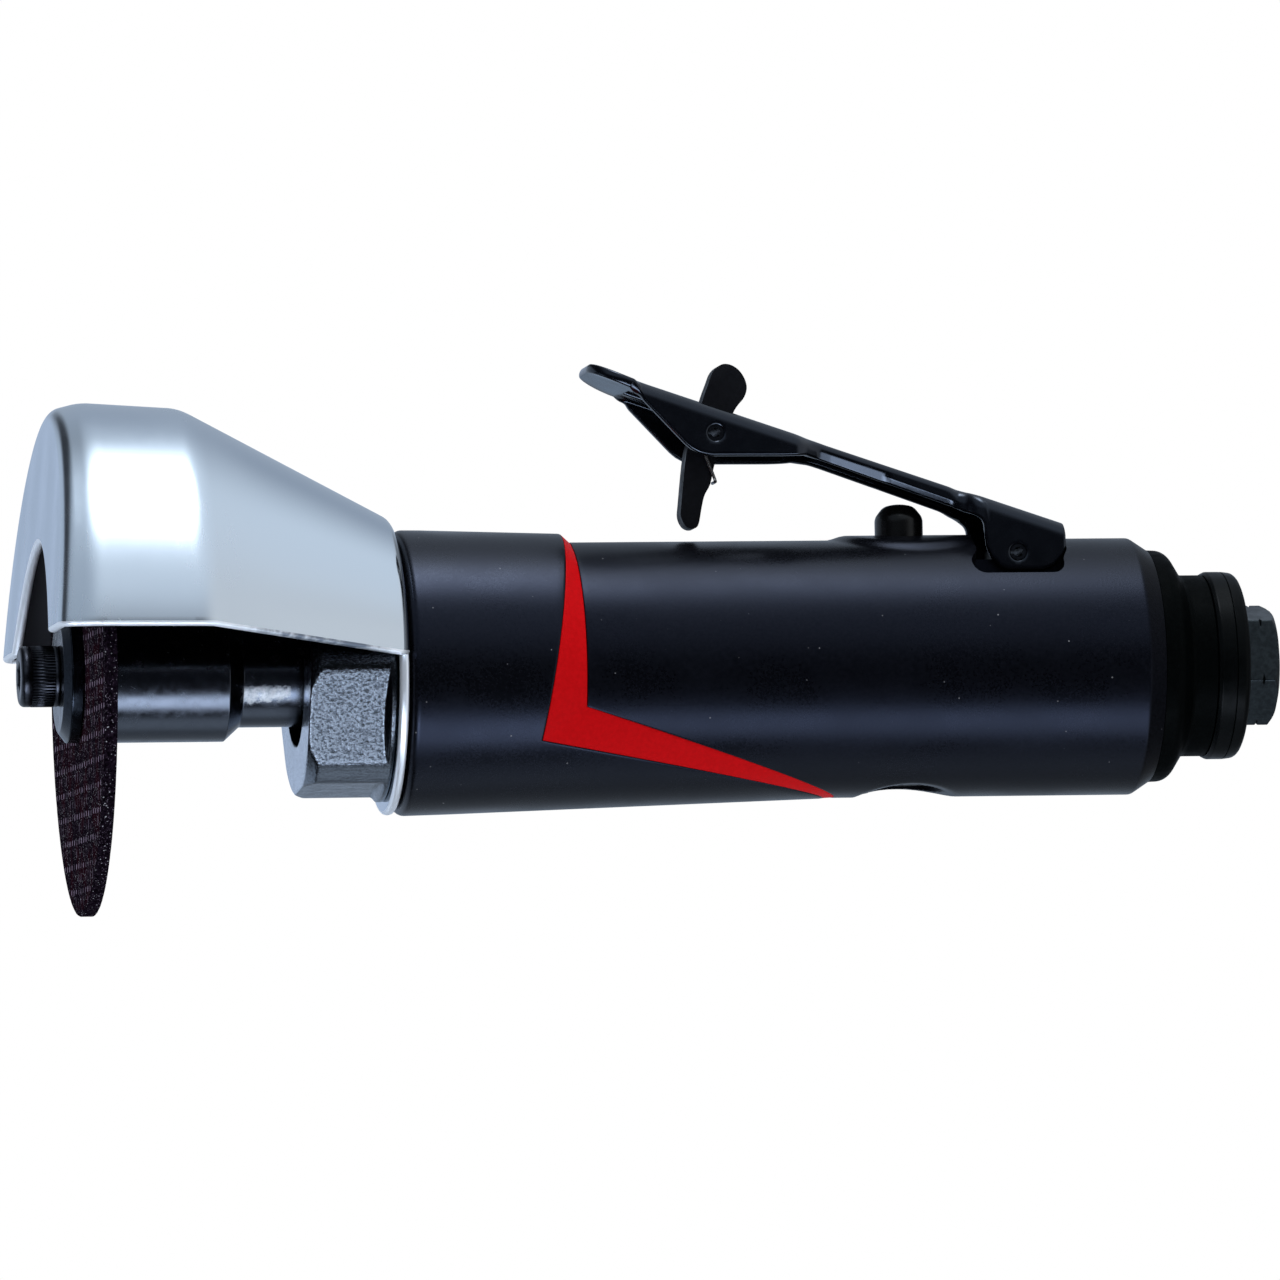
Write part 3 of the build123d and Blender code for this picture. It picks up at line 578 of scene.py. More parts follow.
def chrome_finish():
    """Polished chrome outside, softer on the barrel; the inside of the hood is left dull and coloured near
    black as painted shade.
    """
    f = Finish("polished_chrome", CHROME, 0.07, 1.0)
    haze = f.noise(0.05, 3.0)
    fine = f.noise(0.9, 5.0, place=f.stretched(1.0, 0.25, 0.25))
    inside = f.mark("inside")
    raw = f.mark("cut_edge")
    x = f.axes(f.place)[0]
    # Painted shade: faces marked inside are coloured near black.
    tone = f.blend(inside, CHROME, (0.030, 0.029, 0.032))
    # Painted reflection: the cut edge is light bare metal, but along the cone it is coloured dark with
    # lighter streaks, standing in for the darker things it would mirror.
    cone_start = f.over(x, BARREL_END + 1.05, BARREL_END + 12.55)
    on_cone = f.product(cone_start, f.over(x, X_GUARD_RING - 2.75, X_GUARD_RING - 1.25, 1.0, 0.0))
    streaks = f.ranged(f.noise(0.30, 3.0, 0.6), 0.40, 0.62, 1.0, 0.35)
    edge_tone = f.blend(f.product(on_cone, streaks), (0.90, 0.94, 1.0), (0.16, 0.19, 0.24))
    f.wear("Base Color", f.blend(raw, tone, edge_tone))
    f.wear("Metallic", f.math("MULTIPLY_ADD", raw, -0.35, 1.0))
    gloss = f.ranged(f.math("MULTIPLY_ADD", fine, 0.35, haze), 0.45, 0.95, 0.085, 0.155)
    gloss = f.math("ADD", gloss, f.over(x, BARREL_END + 2.55, BARREL_END + 14.55, 0.13, 0.0))
    gloss = f.math("MULTIPLY_ADD", inside, 0.45, gloss)
    f.wear("Roughness", f.math("MULTIPLY_ADD", raw, 0.22, gloss))
    waves = f.bump(f.noise(0.035, 2.0), 0.12, 0.5)
    f.wear("Normal", f.bump(f.noise(2.5, 3.0, place=f.stretched(1.0, 0.12, 0.12)), 0.05, 0.02, waves))
    return f.material


def worn_oxide_finish():
    """Black oxide with a light, ragged patch low on the near side of the arbor's neck."""
    f = Finish("worn_oxide_steel", OXIDE, 0.22, 1.0)
    x, y, z = f.axes(f.place)
    ragged = f.noise(0.45, 5.0, 0.65)
    start = f.over(f.math("MULTIPLY_ADD", ragged, 2.2 * MM, x), X_NECK + 0.55, X_NECK + 1.15)
    along_neck = f.product(start, f.over(x, X_NUT - 2.15, X_NUT - 1.35, 1.0, 0.0))
    low = f.over(f.math("MULTIPLY_ADD", ragged, 6.0 * MM, z), -2.0, -1.1)
    high = f.over(f.math("MULTIPLY_ADD", ragged, 1.2 * MM, z), -2.2, -1.5, 1.0, 0.0)
    near = f.over(y, -3.0, 0.5, 1.0, 0.0)
    streaks = f.ranged(f.noise(1.3, 5.0, 0.7), 0.34, 0.62, 0.25, 1.0)
    # Lighter, ragged patch in streaks, low on the near side of the neck.
    light_patch = f.product(along_neck, low, high, near, streaks)
    nicks = f.ranged(f.noise(2.1, 6.0, 0.7), 0.70, 0.78, 0.0, 0.6)
    f.wear("Base Color", f.blend(f.math("MAXIMUM", light_patch, nicks), OXIDE, (0.33, 0.33, 0.33)))
    gloss = f.ranged(f.noise(0.6, 5.0), 0.3, 0.7, 0.17, 0.28)
    f.wear("Roughness", f.math("MULTIPLY_ADD", light_patch, 0.25, gloss))
    f.wear("Normal", f.bump(f.noise(3.0, 4.0, place=f.stretched(4.0, 1.0, 1.0)), 0.08, 0.02))
    return f.material


def cast_finish():
    """Black casting with an orange-peel skin, ground to bright metal on its end face and lighter, with
    streaks, on its lowest corners.
    """
    f = Finish("black_casting", (0.08, 0.088, 0.102), 0.2, 1.0)
    axes = f.axes(f.place)
    peel = f.noise(2.2, 3.0, 0.5)
    dark = f.blend(f.ranged(peel, 0.32, 0.58), (0.031, 0.035, 0.041), (0.085, 0.093, 0.105))
    lines = f.ranged(f.noise(1.6, 4.0, place=f.stretched(0.15, 1.0, 3.0)), 0.3, 0.7, 0.55, 1.0)
    ground = f.over(axes["X"], X_NUT + 0.05, X_NUT + 0.25, 1.0, 0.0)
    # Lighter, streaked colour on the lowest corners.
    lowest_band = f.over(axes["Z"], 1.3 - NUT_FLAT, 4.7 - NUT_FLAT, 0.62, 0.0)
    tone = f.blend(f.product(lowest_band, lines), dark, (0.30, 0.335, 0.39))
    f.wear("Base Color", f.blend(f.product(ground, lines), tone, (0.62, 0.68, 0.78)))
    gloss = f.ranged(f.noise(0.5, 4.0), 0.3, 0.7, 0.17, 0.26)
    f.wear("Roughness", f.math("MULTIPLY_ADD", ground, -0.09, gloss))
    f.wear("Normal", f.bump(peel, 0.60, 0.14))
    return f.material


def abrasive_finish():
    """Resin wheel: maroon black grit with a woven glass net showing as rows of fine light ticks."""
    f = Finish("abrasive_resin", (0.010, 0.006, 0.009), 0.8, 0.0, 0.0)
    row_pitch = 3.9
    tick_pitch = 3.2
    axes = f.axes(f.place)
    y = axes["Y"]
    z = axes["Z"]

    def off_line(source, pitch):
        """Distance from the middle of the nearest line, as a share of the pitch."""
        share = f.math("FRACT", f.math("DIVIDE", source, pitch * MM))
        return f.math("ABSOLUTE", f.math("SUBTRACT", share, 0.5))

    def ticks(row_half, shift):
        level = f.math("MULTIPLY_ADD", y, -0.020, z)
        ragged = f.math("MULTIPLY_ADD", f.noise(0.35, 2.0), 0.7 * MM, level)
        row = off_line(f.math("ADD", ragged, shift * MM), row_pitch)
        tick = off_line(f.math("MULTIPLY_ADD", z, 0.25, y), tick_pitch)
        in_row = f.ranged(row, row_half, row_half + 0.05, 1.0, 0.0)
        return f.product(in_row, f.ranged(tick, 0.07, 0.20, 1.0, 0.0))

    bright = f.product(ticks(0.075, 0.0), f.ranged(f.noise(0.22, 2.0), 0.38, 0.55, 0.25, 1.0))
    faint = f.product(ticks(0.16, 1.7), f.ranged(f.noise(0.3, 2.0), 0.48, 0.62, 0.0, 0.35))
    radius = f.math("SQRT", f.math("ADD", f.product(y, y), f.product(z, z)))
    face = f.over(radius, DISC_R - 1.3, DISC_R - 0.6, 1.0, 0.0)
    net = f.product(f.math("MAXIMUM", bright, faint), face)
    grit = f.noise(1.8, 5.0, 0.75)
    maroon = f.ranged(f.noise(0.18, 3.0), 0.45, 0.62)
    flecks = f.product(f.ranged(f.cells(1.9), 0.16, 0.24, 1.0, 0.0), f.ranged(f.noise(1.1, 2.0), 0.46, 0.56))
    patches = f.ranged(f.noise(0.9, 3.0), 0.44, 0.60, 0.0, 0.7)
    grains = f.product(f.ranged(f.cells(3.0), 0.20, 0.30, 1.0, 0.0), patches)
    tint = f.blend(f.ranged(grit, 0.38, 0.66), (0.0016, 0.0010, 0.0022), (0.013, 0.0080, 0.015))
    tint = f.blend(f.product(maroon, face), tint, (0.013, 0.0032, 0.0062))
    tint = f.blend(flecks, tint, (0.36, 0.36, 0.40))
    tint = f.blend(grains, tint, (0.16, 0.13, 0.18))
    f.wear("Base Color", f.blend(f.product(net, 0.75), tint, (0.28, 0.22, 0.31)))
    f.wear("Roughness", f.ranged(grit, 0.3, 0.7, 0.62, 0.85))
    f.wear("Normal", f.bump(f.math("MULTIPLY_ADD", net, 0.6, grit), 0.6, 0.18))
    return f.material


def sleeve_finish(name, colour, roughness, specular):
    """Moulded sleeve: satin black with a blue sheen, grain and stray specks, duller on its rear chamfer."""
    f = Finish(name, colour, roughness, 0.0, specular)
    x = f.axes(f.place)[0]
    f.wear("Specular IOR Level", f.over(x, X_CAP - 3.3, X_CAP - 2.5, specular, 0.25 * specular))
    f.wear("Specular Tint", BLUE_SHEEN)
    grain = f.noise(2.2, 5.0, 0.65)
    speck = f.ranged(f.cells(0.55), 0.055, 0.085, 1.0, 0.0)
    rare = f.product(speck, f.ranged(f.noise(0.6, 2.0), 0.56, 0.64))
    darker = tuple(0.75 * c for c in colour)
    lighter = tuple(1.9 * c + 0.001 for c in colour)
    tint = f.blend(f.ranged(grain, 0.3, 0.72), darker, lighter)
    f.wear("Base Color", f.blend(rare, tint, (0.20, 0.20, 0.21)))
    patches = f.math("MULTIPLY_ADD", grain, 0.5, f.noise(0.05, 3.0))
    f.wear("Roughness", f.ranged(patches, 0.5, 1.0, roughness - 0.05, roughness + 0.08))
    f.wear("Normal", f.bump(grain, 0.22, 0.05))
    return f.material


def red_finish():
    f = Finish("red_moulding", (0.53, 0.002, 0.004), 0.5, 0.0, 0.04)
    grain = f.noise(1.6, 5.0, 0.6)
    f.wear("Base Color", f.blend(f.ranged(grain, 0.25, 0.75), (0.49, 0.0015, 0.003), (0.58, 0.0025, 0.005)))
    f.wear("Roughness", f.ranged(grain, 0.3, 0.7, 0.40, 0.52))
    f.wear("Normal", f.bump(f.noise(2.4, 4.0), 0.12, 0.04))
    return f.material


def lever_finish():
    """Black paint on pressed steel, with a soft orange peel and a few pin-prick chips."""
    f = Finish("black_paint", PAINT, 0.17, 0.0, 0.46)
    f.wear("Specular Tint", PAINT_SHEEN)
    chips = f.ranged(f.noise(2.4, 6.0, 0.75), 0.76, 0.80, 0.0, 0.5)
    f.wear("Base Color", f.blend(chips, PAINT, (0.06, 0.06, 0.06)))
    f.wear("Roughness", f.ranged(f.noise(0.35, 4.0), 0.3, 0.7, 0.14, 0.22))
    f.wear("Normal", f.bump(f.noise(0.9, 3.0), 0.05, 0.05))
    return f.material


def plain_finish(name, colour, roughness, metallic, specular, grain, depth=0.03, strength=0.15):
    """Finish with fine mottling in colour, gloss and relief."""
    f = Finish(name, colour, roughness, metallic, specular)
    mottle = f.noise(grain, 4.0, 0.6)
    lower = tuple(0.75 * c for c in colour)
    upper = tuple(min(1.0, 1.25 * c) for c in colour)
    f.wear("Base Color", f.blend(f.ranged(mottle, 0.3, 0.7), lower, upper))
    dullest = min(1.0, roughness * 1.2)
    f.wear("Roughness", f.ranged(f.noise(grain * 0.3, 3.0), 0.3, 0.7, roughness * 0.85, dullest))
    f.wear("Normal", f.bump(mottle, strength, depth))
    return f.material


chrome = chrome_finish()
worn_oxide = worn_oxide_finish()
casting = cast_finish()
abrasive = abrasive_finish()
front_black = sleeve_finish("front_sleeve_black", (0.0013, 0.0014, 0.0020), 0.27, 0.23)
rear_black = sleeve_finish("rear_sleeve_black", (0.0012, 0.0013, 0.0020), 0.29, 0.18)
red = red_finish()
lever_black = lever_finish()
cap_black = plain_finish("cap_black", (0.0009, 0.0013, 0.0013), 0.45, 0.0, 0.012, 1.4)
ring_black = plain_finish("ring_black", (0.0008, 0.0012, 0.0013), 0.34, 0.0, 0.045, 1.4)
dark_steel = plain_finish("dark_steel", (0.022, 0.026, 0.028), 0.34, 1.0, 0.5, 1.2)
catch_black = plain_finish("catch_black", (0.0026, 0.0028, 0.0048), 0.48, 0.0, 0.14, 1.6)
pin_steel = plain_finish("pin_steel", (0.022, 0.024, 0.030), 0.30, 1.0, 0.5, 3.0)
screw_black = plain_finish("screw_black", (0.040, 0.042, 0.051), 0.32, 1.0, 0.5, 2.0)
washer_black = plain_finish("washer_black", (0.022, 0.026, 0.034), 0.24, 1.0, 0.5, 2.0)
wire_steel = plain_finish("wire_steel", (0.20, 0.19, 0.18), 0.32, 0.9, 0.5, 5.0)
plunger_black = plain_finish("plunger_black", (0.0016, 0.0015, 0.0016), 0.26, 0.0, 0.22, 2.0)
# Painted shade: the motor housing, seen in the pocket round the lever's ears, is coloured near black; the
# valve plug shares this finish.
housing_painted_shade = plain_finish("housing_alloy", (0.006, 0.0062, 0.007), 0.5, 0.0, 0.12, 0.8)
motor_steel = plain_finish("motor_steel", (0.42, 0.42, 0.43), 0.26, 1.0, 0.5, 1.5)
motor_iron = plain_finish("motor_iron", (0.16, 0.16, 0.165), 0.42, 0.9, 0.5, 1.0)
vane_resin = plain_finish("vane_resin", (0.16, 0.085, 0.035), 0.6, 0.0, 0.4, 2.5)
bush_brass = plain_finish("bush_brass", (0.62, 0.42, 0.16), 0.3, 1.0, 0.5, 1.2)
seal_rubber = plain_finish("seal_rubber", (0.012, 0.012, 0.013), 0.6, 0.0, 0.3, 2.0)
felt_grey = plain_finish("felt_grey", (0.30, 0.29, 0.27), 0.95, 0.0, 0.2, 3.0, 0.2, 0.6)


# Chrome hood: one bent skin with its mounting ring, given its sheet thickness
def hood_edge_height(x):
    if x <= BARREL_END:
        return mix(HOOD_EDGE, HOOD_EDGE - 0.1, (x - X_GUARD + 5) / (BARREL_END - X_GUARD + 5))
    if x >= X_GUARD_RING:
        return HOOD_EDGE_REAR
    return mix(HOOD_EDGE - 0.1, HOOD_EDGE_REAR, (x - BARREL_END) / (X_GUARD_RING - BARREL_END))


def make_hood():
    across = 160
    under = 90
    roll = 0.65
    arch_half = ARCH_HALF + roll
    dent_depth = 0.11
    lean_from = 15.6
    profile = rounded([
        (X_GUARD_REAR, GUARD_RING_R, 0), (X_GUARD_REAR, GUARD_RING_R + 1.7, 3.4),
        (BARREL_END - 1.0, GUARD_R - 1.0, 9.0), (X_GUARD + 5.2, GUARD_R, 12.0),
        (X_GUARD, GUARD_R - 1.2, 2.3), (X_GUARD, 30.0, 0),
    ], steps=10)[:-1]
    profile = [p for p in profile if not (p[0] < X_GUARD + 0.01 and p[1] < GUARD_R - 3.4)]
    ring_radii = (GUARD_HOLE_R + roll, 18.8, 20.3, GUARD_RING_R - roll)
    rows = [(X_GUARD_REAR, r) for r in ring_radii] + fine_line(profile, 1.6)[1:]
    points = []
    grid = []
    lower = []
    faces = []

    def row_of(line):
        points.extend(line)
        return list(range(len(points) - len(line), len(points)))

    for x, r in rows:
        low = asin((hood_edge_height(x) + roll) / r)
        grid.append(row_of([on_axis(x, r, mix(low, pi - low, k / across)) for k in range(across + 1)]))
    rim = [points[i] for i in grid[-1]]
    for t in (0.1, 0.2, 0.32, 0.45, 0.6, 0.75, 0.88, 1.0):
        line = []
        for k, (x, y, z) in enumerate(rim):
            foot = -arch_half * cos(pi * k / across)
            arch = HOOD_EDGE + roll + (ARCH_TOP - HOOD_EDGE) * (1 - (foot / arch_half) ** 2)
            side = mix(y, foot, t)
            dent = dent_depth * sin(0.30 * side + 1.3) * eased(t, 0.0, 0.25) * (1 - eased(t, 0.75, 1.0))
            line.append((X_GUARD + dent, side, mix(z, arch, t)))
        grid.append(row_of(line))
    for i, (x, r) in enumerate(rows[:len(ring_radii)]):
        low = asin((HOOD_EDGE_REAR + roll) / r)
        line = row_of([on_axis(x, r, mix(pi - low, 2 * pi + low, k / under)) for k in range(1, under)])
        lower.append([grid[i][across]] + line + [grid[i][0]])
    for strip in (grid, lower):
        for a, b in zip(strip, strip[1:]):
            faces += [(a[k], a[k + 1], b[k + 1], b[k]) for k in range(len(a) - 1)]
    skin = bmesh.new()
    made = []
    for x, y, z in points:
        forward = max(0.0, (BARREL_END - x) / (BARREL_END - X_GUARD))
        made.append(skin.verts.new((x + HOOD_LEAN * (z - lean_from) * forward, y, z)))
    for face in faces:
        skin.faces.new([made[i] for i in face])
    bmesh.ops.remove_doubles(skin, verts=skin.verts, dist=1e-3)
    drop_loose(skin)
    hood, lining = finish_sheet("guard_hood", skin, GUARD_T, roll)
    inside = hood.data.attributes.new("inside", "FLOAT", "FACE")
    raw = hood.data.attributes.new("cut_edge", "FLOAT", "FACE")
    for i in range(lining.stop, len(hood.data.polygons)):
        raw.data[i].value = 1.0
    # Painted shade: the lining is marked inside, to be coloured near black, except low by the mounting ring.
    for i in lining:
        at = hood.data.polygons[i].center / MM
        if not (at.x > X_GUARD_RING - 0.3 and at.z < 1.5):
            inside.data[i].value = 1.0
    dress(hood, chrome, "guard", "guard")


make_hood()


# Clamp nut: cast body with six flats, an orange-peel skin and soft edges
def make_nut():
    flat_end = X_NUT + 11.65
    collar_r = 17.8
    bevel = 1.2
    bevel_long = 1.7
    peel_depth = 0.042
    flats_turn = radians(-25)
    run_out = 2.6

    def side(x, turn):
        offset = (turn - flats_turn + pi / 6) % (pi / 3) - pi / 6
        flat = NUT_FLAT / cos(offset)
        collar = collar_r + max(-4.0, x - flat_end) * run_out
        cone = NUT_R - bevel + (x - X_NUT) * bevel / bevel_long
        r = soft_min(0.10, NUT_R, soft_max(0.12, flat, collar), cone)
        on_flat = eased(NUT_R - r, 0.15, 0.5) * eased(x, X_NUT + 1.2, X_NUT + 2.4)
        on_flat *= 1 - eased(x, flat_end - 1.0, flat_end)
        at = Vector(on_axis(x, r, turn))
        peel = noise.noise(at * 2.0) + 0.5 * noise.noise(at * 3.1 + Vector((7.0, 3.0, 1.0)))
        return r + peel_depth * peel * on_flat

    rows = [(X_NUT + 9.0, NUT_BORE_R), (X_NUT + 0.5, NUT_BORE_R), (X_NUT + 0.12, NUT_BORE_R + 0.06)]
    for share in (0.0, 0.25, 0.5, 0.75, 0.9, 1.0):
        rows.append((X_NUT, lambda turn, t=share: mix(NUT_BORE_R + 0.4, side(X_NUT, turn) - 0.3, t)))
    rows.append((X_NUT + 0.06, lambda turn: side(X_NUT, turn) - 0.08))
    for x in spread(X_NUT + 0.25, X_NUT_REAR - 0.3, 46):
        rows.append((x, lambda turn, at=x: side(at, turn)))
    rows += [(X_NUT_REAR - 0.08, NUT_R - 0.08), (X_NUT_REAR, NUT_R - 0.3), (X_NUT_REAR, NUT_SEAT_R + 1.0)]
    rows += [(X_NUT_REAR, NUT_SEAT_R), (X_FRONT_PLATE, NUT_SEAT_R), (X_FRONT_PLATE, NUT_BORE_R)]
    dress(ringed("clamp_nut_casting", rows, 432), casting, "housing", "clamp_nut")


make_nut()


# Disc stack: knurled cap screw, flange, abrasive disc and arbor
def knurl_tree():
    """Straight knurl: thin ridges set round a circle and laid along the tool's axis."""
    t = Grower("straight_knurl", False, Ridges=68, Radius=0.0047, Length=0.003, Width=0.0002, Station=-0.19)
    return t.end(t.round_axis("Ridges", "Radius", 6, "Width", "Length"))


def make_screw():
    """Screw with a six-sided key socket in its rounded, knurled head."""
    key_half = 2.0
    band_r = SCREW_R - 0.12
    stem_end = X_FLANGE + 17.5

    def key(turn):
        return key_half / cos((turn + pi / 6) % (pi / 3) - pi / 6)

    rows = [(X_SCREW + 3.2, lambda t: 0.4 * key(t)), (X_SCREW + 3.0, key), (X_SCREW + 0.35, key)]
    rows += [(X_SCREW + 0.12, lambda t: key(t) + 0.06), (X_SCREW, lambda t: max(2.5, key(t) + 0.2))]
    rows += rounded([
        (X_SCREW, 2.6, 0), (X_SCREW, SCREW_R, 1.6), (X_SCREW + 1.7, SCREW_R, 0), (X_SCREW + 1.82, band_r, 0),
        (X_SCREW + 5.3, band_r, 0), (X_SCREW + 5.42, SCREW_R, 0), (X_FLANGE, SCREW_R, 0.3),
        (X_FLANGE, SHANK_R, 0.2), (stem_end - 0.2, SHANK_R, 0.4), (stem_end, 0.05, 0),
    ], steps=6)[1:]
    head = ringed("screw_turning", rows, 144, closed=False)
    head.data.set_sharp_from_angle(angle=radians(50))
    knurl = grow(
        placed("screw_knurl", bpy.data.meshes.new("screw_knurl")), knurl_tree(), Ridges=56,
        Radius=(SCREW_R - 0.14) * MM, Length=3.5 * MM, Width=0.17 * MM, Station=(X_SCREW + 3.56) * MM,
        Finish=screw_black,
    )
    dress(joined("cap_screw", head, knurl), screw_black, "spindle", "wheel_screw")


make_screw()

flange = turned("disc_flange", [
    (X_FLANGE, 3.2, 0.2), (X_FLANGE, ARBOR_R - 1.6, 0.35), (X_FLANGE + 1.2, ARBOR_R, 0.3),
    (X_DISC, ARBOR_R, 0.25), (X_DISC, 3.2, 0.2),
], closed=True)
dress(flange, washer_black, "spindle", "outer_flange")


def make_disc():
    columns = 240
    pit_depth = 0.03
    chip_depth = 0.10
    rows = [(X_DISC, r) for r in spread(SCREW_R, DISC_R - 0.2, 26)]
    rows += [(X_DISC + 0.03, DISC_R - 0.06), (X_DISC + 0.12, DISC_R)]
    rows += [(x, DISC_R) for x in spread(X_DISC + 0.5, X_DISC_REAR - 0.5, 4)]
    rows += [(X_DISC_REAR - 0.12, DISC_R), (X_DISC_REAR - 0.03, DISC_R - 0.06)]
    rows += [(X_DISC_REAR, r) for r in spread(DISC_R - 0.2, SCREW_R, 26)]
    points = []
    for x, r in rows:
        for k in range(columns):
            turn = 2 * pi * k / columns
            at = Vector(on_axis(x, r, turn))
            rough = noise.noise(at * 1.1) + 0.5 * noise.noise(at * 2.3)
            inward = eased(r, DISC_R - 1.2, DISC_R - 0.3)
            sink = pit_depth * abs(noise.noise(at * 0.8)) if r > ARBOR_R + 0.3 else 0.0
            face = 1 if x < (X_DISC + X_DISC_REAR) / 2 else -1
            points.append(on_axis(x + face * sink, r - chip_depth * abs(rough) * inward, turn))
    disc = piece_from("abrasive_disc", points, ring_faces(len(rows), columns, True))
    dress(disc, abrasive, "spindle", "cutting_disc")


make_disc()

arbor = turned("arbor_turning", [
    (X_DISC + 0.4, 3.0, 0.1), (X_DISC + 0.4, SCREW_R - 0.05, 0.15), (X_DISC_REAR, SCREW_R - 0.05, 0.1),
    (X_DISC_REAR, ARBOR_R, 0.25), (X_DISC_REAR + 20.7, ARBOR_R, 0.3), (X_NECK, NECK_R, 0.5),
    (X_NECK_END, NECK_R, 0.2), (X_NECK_END, 5.0, 0.1), (X_SHAFT_SEAT, 5.0, 0.1), (X_SHAFT_SEAT, 3.0, 0.1),
], closed=True)
dress(arbor, worn_oxide, "spindle", "arbor")


# Sleeves: the front grip, the red band and the rear grip, parted along the V
V_OUTER = [(-112.0, 30.0), (-119.1, -12.0), (-60.0, -22.5)]
V_INNER = [(-110.0, 30.0), (-112.15, 19.0), (-112.1, -6.8), (-60.0, -23.6)]
# Soft edge at a parting line: distance from the line and drop below the surface
PARTING = ((0.35, 0.0), (0.10, 0.03), (0.02, 0.14), (0.02, 2.0))


def front_radius(x):
    return mix(GRIP_FRONT_R, GRIP_R, max(0.0, (x - X_FRONT - 2.2) / (X_VALVE - 10.0 - X_FRONT - 2.2)))


def line_at_height(line, z):
    """Station of a downward line at height z."""
    for (x0, z0), (x1, z1) in zip(line, line[1:]):
        if z1 <= z <= z0:
            return mix(x0, x1, (z - z0) / (z1 - z0))
    return line[-1][0]


def outer_v(turn):
    """Station of the V's outer line on the front grip at a turn about the axis."""
    x = -110.0
    for _ in range(12):
        x = line_at_height(V_OUTER, front_radius(x) * sin(turn))
    return x


def inner_v(turn):
    return line_at_height(V_INNER, GRIP_R * sin(turn))


def v_turns(count, *kinks):
    """Turns round the sleeve, with one exactly at each kink, the same on both sides."""
    half = sorted(set([round(mix(-pi / 2, pi / 2, k / count), 9) for k in range(count + 1)] + list(kinks)))
    return half + [pi - t for t in reversed(half[1:-1])]


OUTER_KINK = asin(V_OUTER[1][1] / front_radius(V_OUTER[1][0]))
INNER_KINK = asin(V_INNER[2][1] / GRIP_R)
INNER_TOP_KINK = asin(V_INNER[1][1] / GRIP_R)


def make_front_sleeve():
    turns = v_turns(110, OUTER_KINK)
    straight = X_FRONT + 20.0
    mouth = rounded([
        (X_FRONT + 0.3, SLEEVE_BORE_R, 0), (X_FRONT + 0.3, GRIP_FRONT_R, 1.5),
        (straight, front_radius(straight), 0),
    ], steps=8)[:-1]
    points = []
    for x, r in mouth:
        points += [on_axis(x, r, t) for t in turns]
    for share in (0.1, 0.25, 0.4, 0.55, 0.7, 0.82, 0.9, 0.95):
        for t in turns:
            x = mix(mouth[-1][0], outer_v(t) - PARTING[0][0], share)
            points.append(on_axis(x, front_radius(x), t))
    for back, drop in PARTING:
        for t in turns:
            x = outer_v(t) - back
            points.append(on_axis(x, front_radius(x) - drop, t))
    points += [on_axis(outer_v(t) - PARTING[-1][0], SLEEVE_BORE_R, t) for t in turns]
    sleeve = piece_from("front_sleeve", points, ring_faces(len(points) // len(turns), len(turns), True))
    dress(sleeve, front_black, "housing", "front_grip")


make_front_sleeve()


def make_red_band():
    """Ramp from the front grip's surface down to the rear grip's, creased across the V's corner."""
    upper = 60
    lower = 90
    across = 12
    sunk = 0.06
    shares = [k / upper for k in range(upper + 1)]
    turns = [(mix(pi / 2, OUTER_KINK, t), mix(pi / 2, INNER_KINK, t)) for t in shares]
    shares = [(k / lower) ** 0.9 for k in range(1, lower + 1)]
    turns += [(mix(OUTER_KINK, -pi / 2, t), mix(INNER_KINK, -pi / 2, t)) for t in shares]
    half = []
    for ta, tb in turns:
        xa = outer_v(ta)
        ra = front_radius(xa)
        xb = inner_v(tb)
        row = [(xa + 0.02, SLEEVE_BORE_R, ta), (xa + 0.02, ra - 0.9, ta), (xa + 0.03, ra - 0.16, ta)]
        for s in spread(0.02, 0.98, across):
            row.append((mix(xa, xb, s), mix(ra - sunk, GRIP_R - sunk, s), mix(ta, tb, s)))
        row += [(xb - 0.03, GRIP_R - 0.16, tb), (xb - 0.02, GRIP_R - 0.9, tb), (xb - 0.02, SLEEVE_BORE_R, tb)]
        half.append(row)
    strips = half + [[(x, r, pi - t) for x, r, t in row] for row in reversed(half[1:-1])]
    rows = list(zip(*strips))
    points = [on_axis(*at) for row in rows for at in row]
    band = piece_from("red_band", points, ring_faces(len(rows), len(strips), True))
    dress(band, red, "housing", "accent_band")


make_red_band()

PAD_X = -57.5
PAD_HALF_LONG = 13.5
PAD_HALF_WIDE = 10.2
PAD_RISE = 0.72
PAD_FLAT = 0.76
CHAMFER_LONG = 2.8
CHAMFER_SLOPE = 0.66
SCOOP_Z = -38.8
SCOOP_R = 20.2
POCKET_FRONT = -49.7
POCKET_REAR = -33.8
POCKET_FLOOR = 13.9
POCKET_CORNER = 2.0
PLUG_HOLE_R = 5.9


def rear_radius(x, turn):
    """Rear grip's skin: tube with an oval pad under the button, a scoop below and a chamfered rear edge."""
    r = GRIP_R
    s = sin(turn)
    if s > 0.3:
        off = GRIP_R * acos(min(1.0, s)) / PAD_HALF_WIDE
        ring = sqrt(((x - PAD_X) / PAD_HALF_LONG) ** 2 + off * off)
        r += PAD_RISE * (1 - eased(ring, PAD_FLAT, 1.0))
    if s < -0.6 and abs(x - X_VALVE) < 20.0:
        hollow = SCOOP_Z + sqrt(SCOOP_R ** 2 - (x - X_VALVE) ** 2)
        if hollow < 0:
            r = soft_min(0.05, r, hollow / s)
    back = x - (X_CAP - CHAMFER_LONG)
    return r - CHAMFER_SLOPE * soft_max(0.12, 0.0, back) if back > -1.5 else r


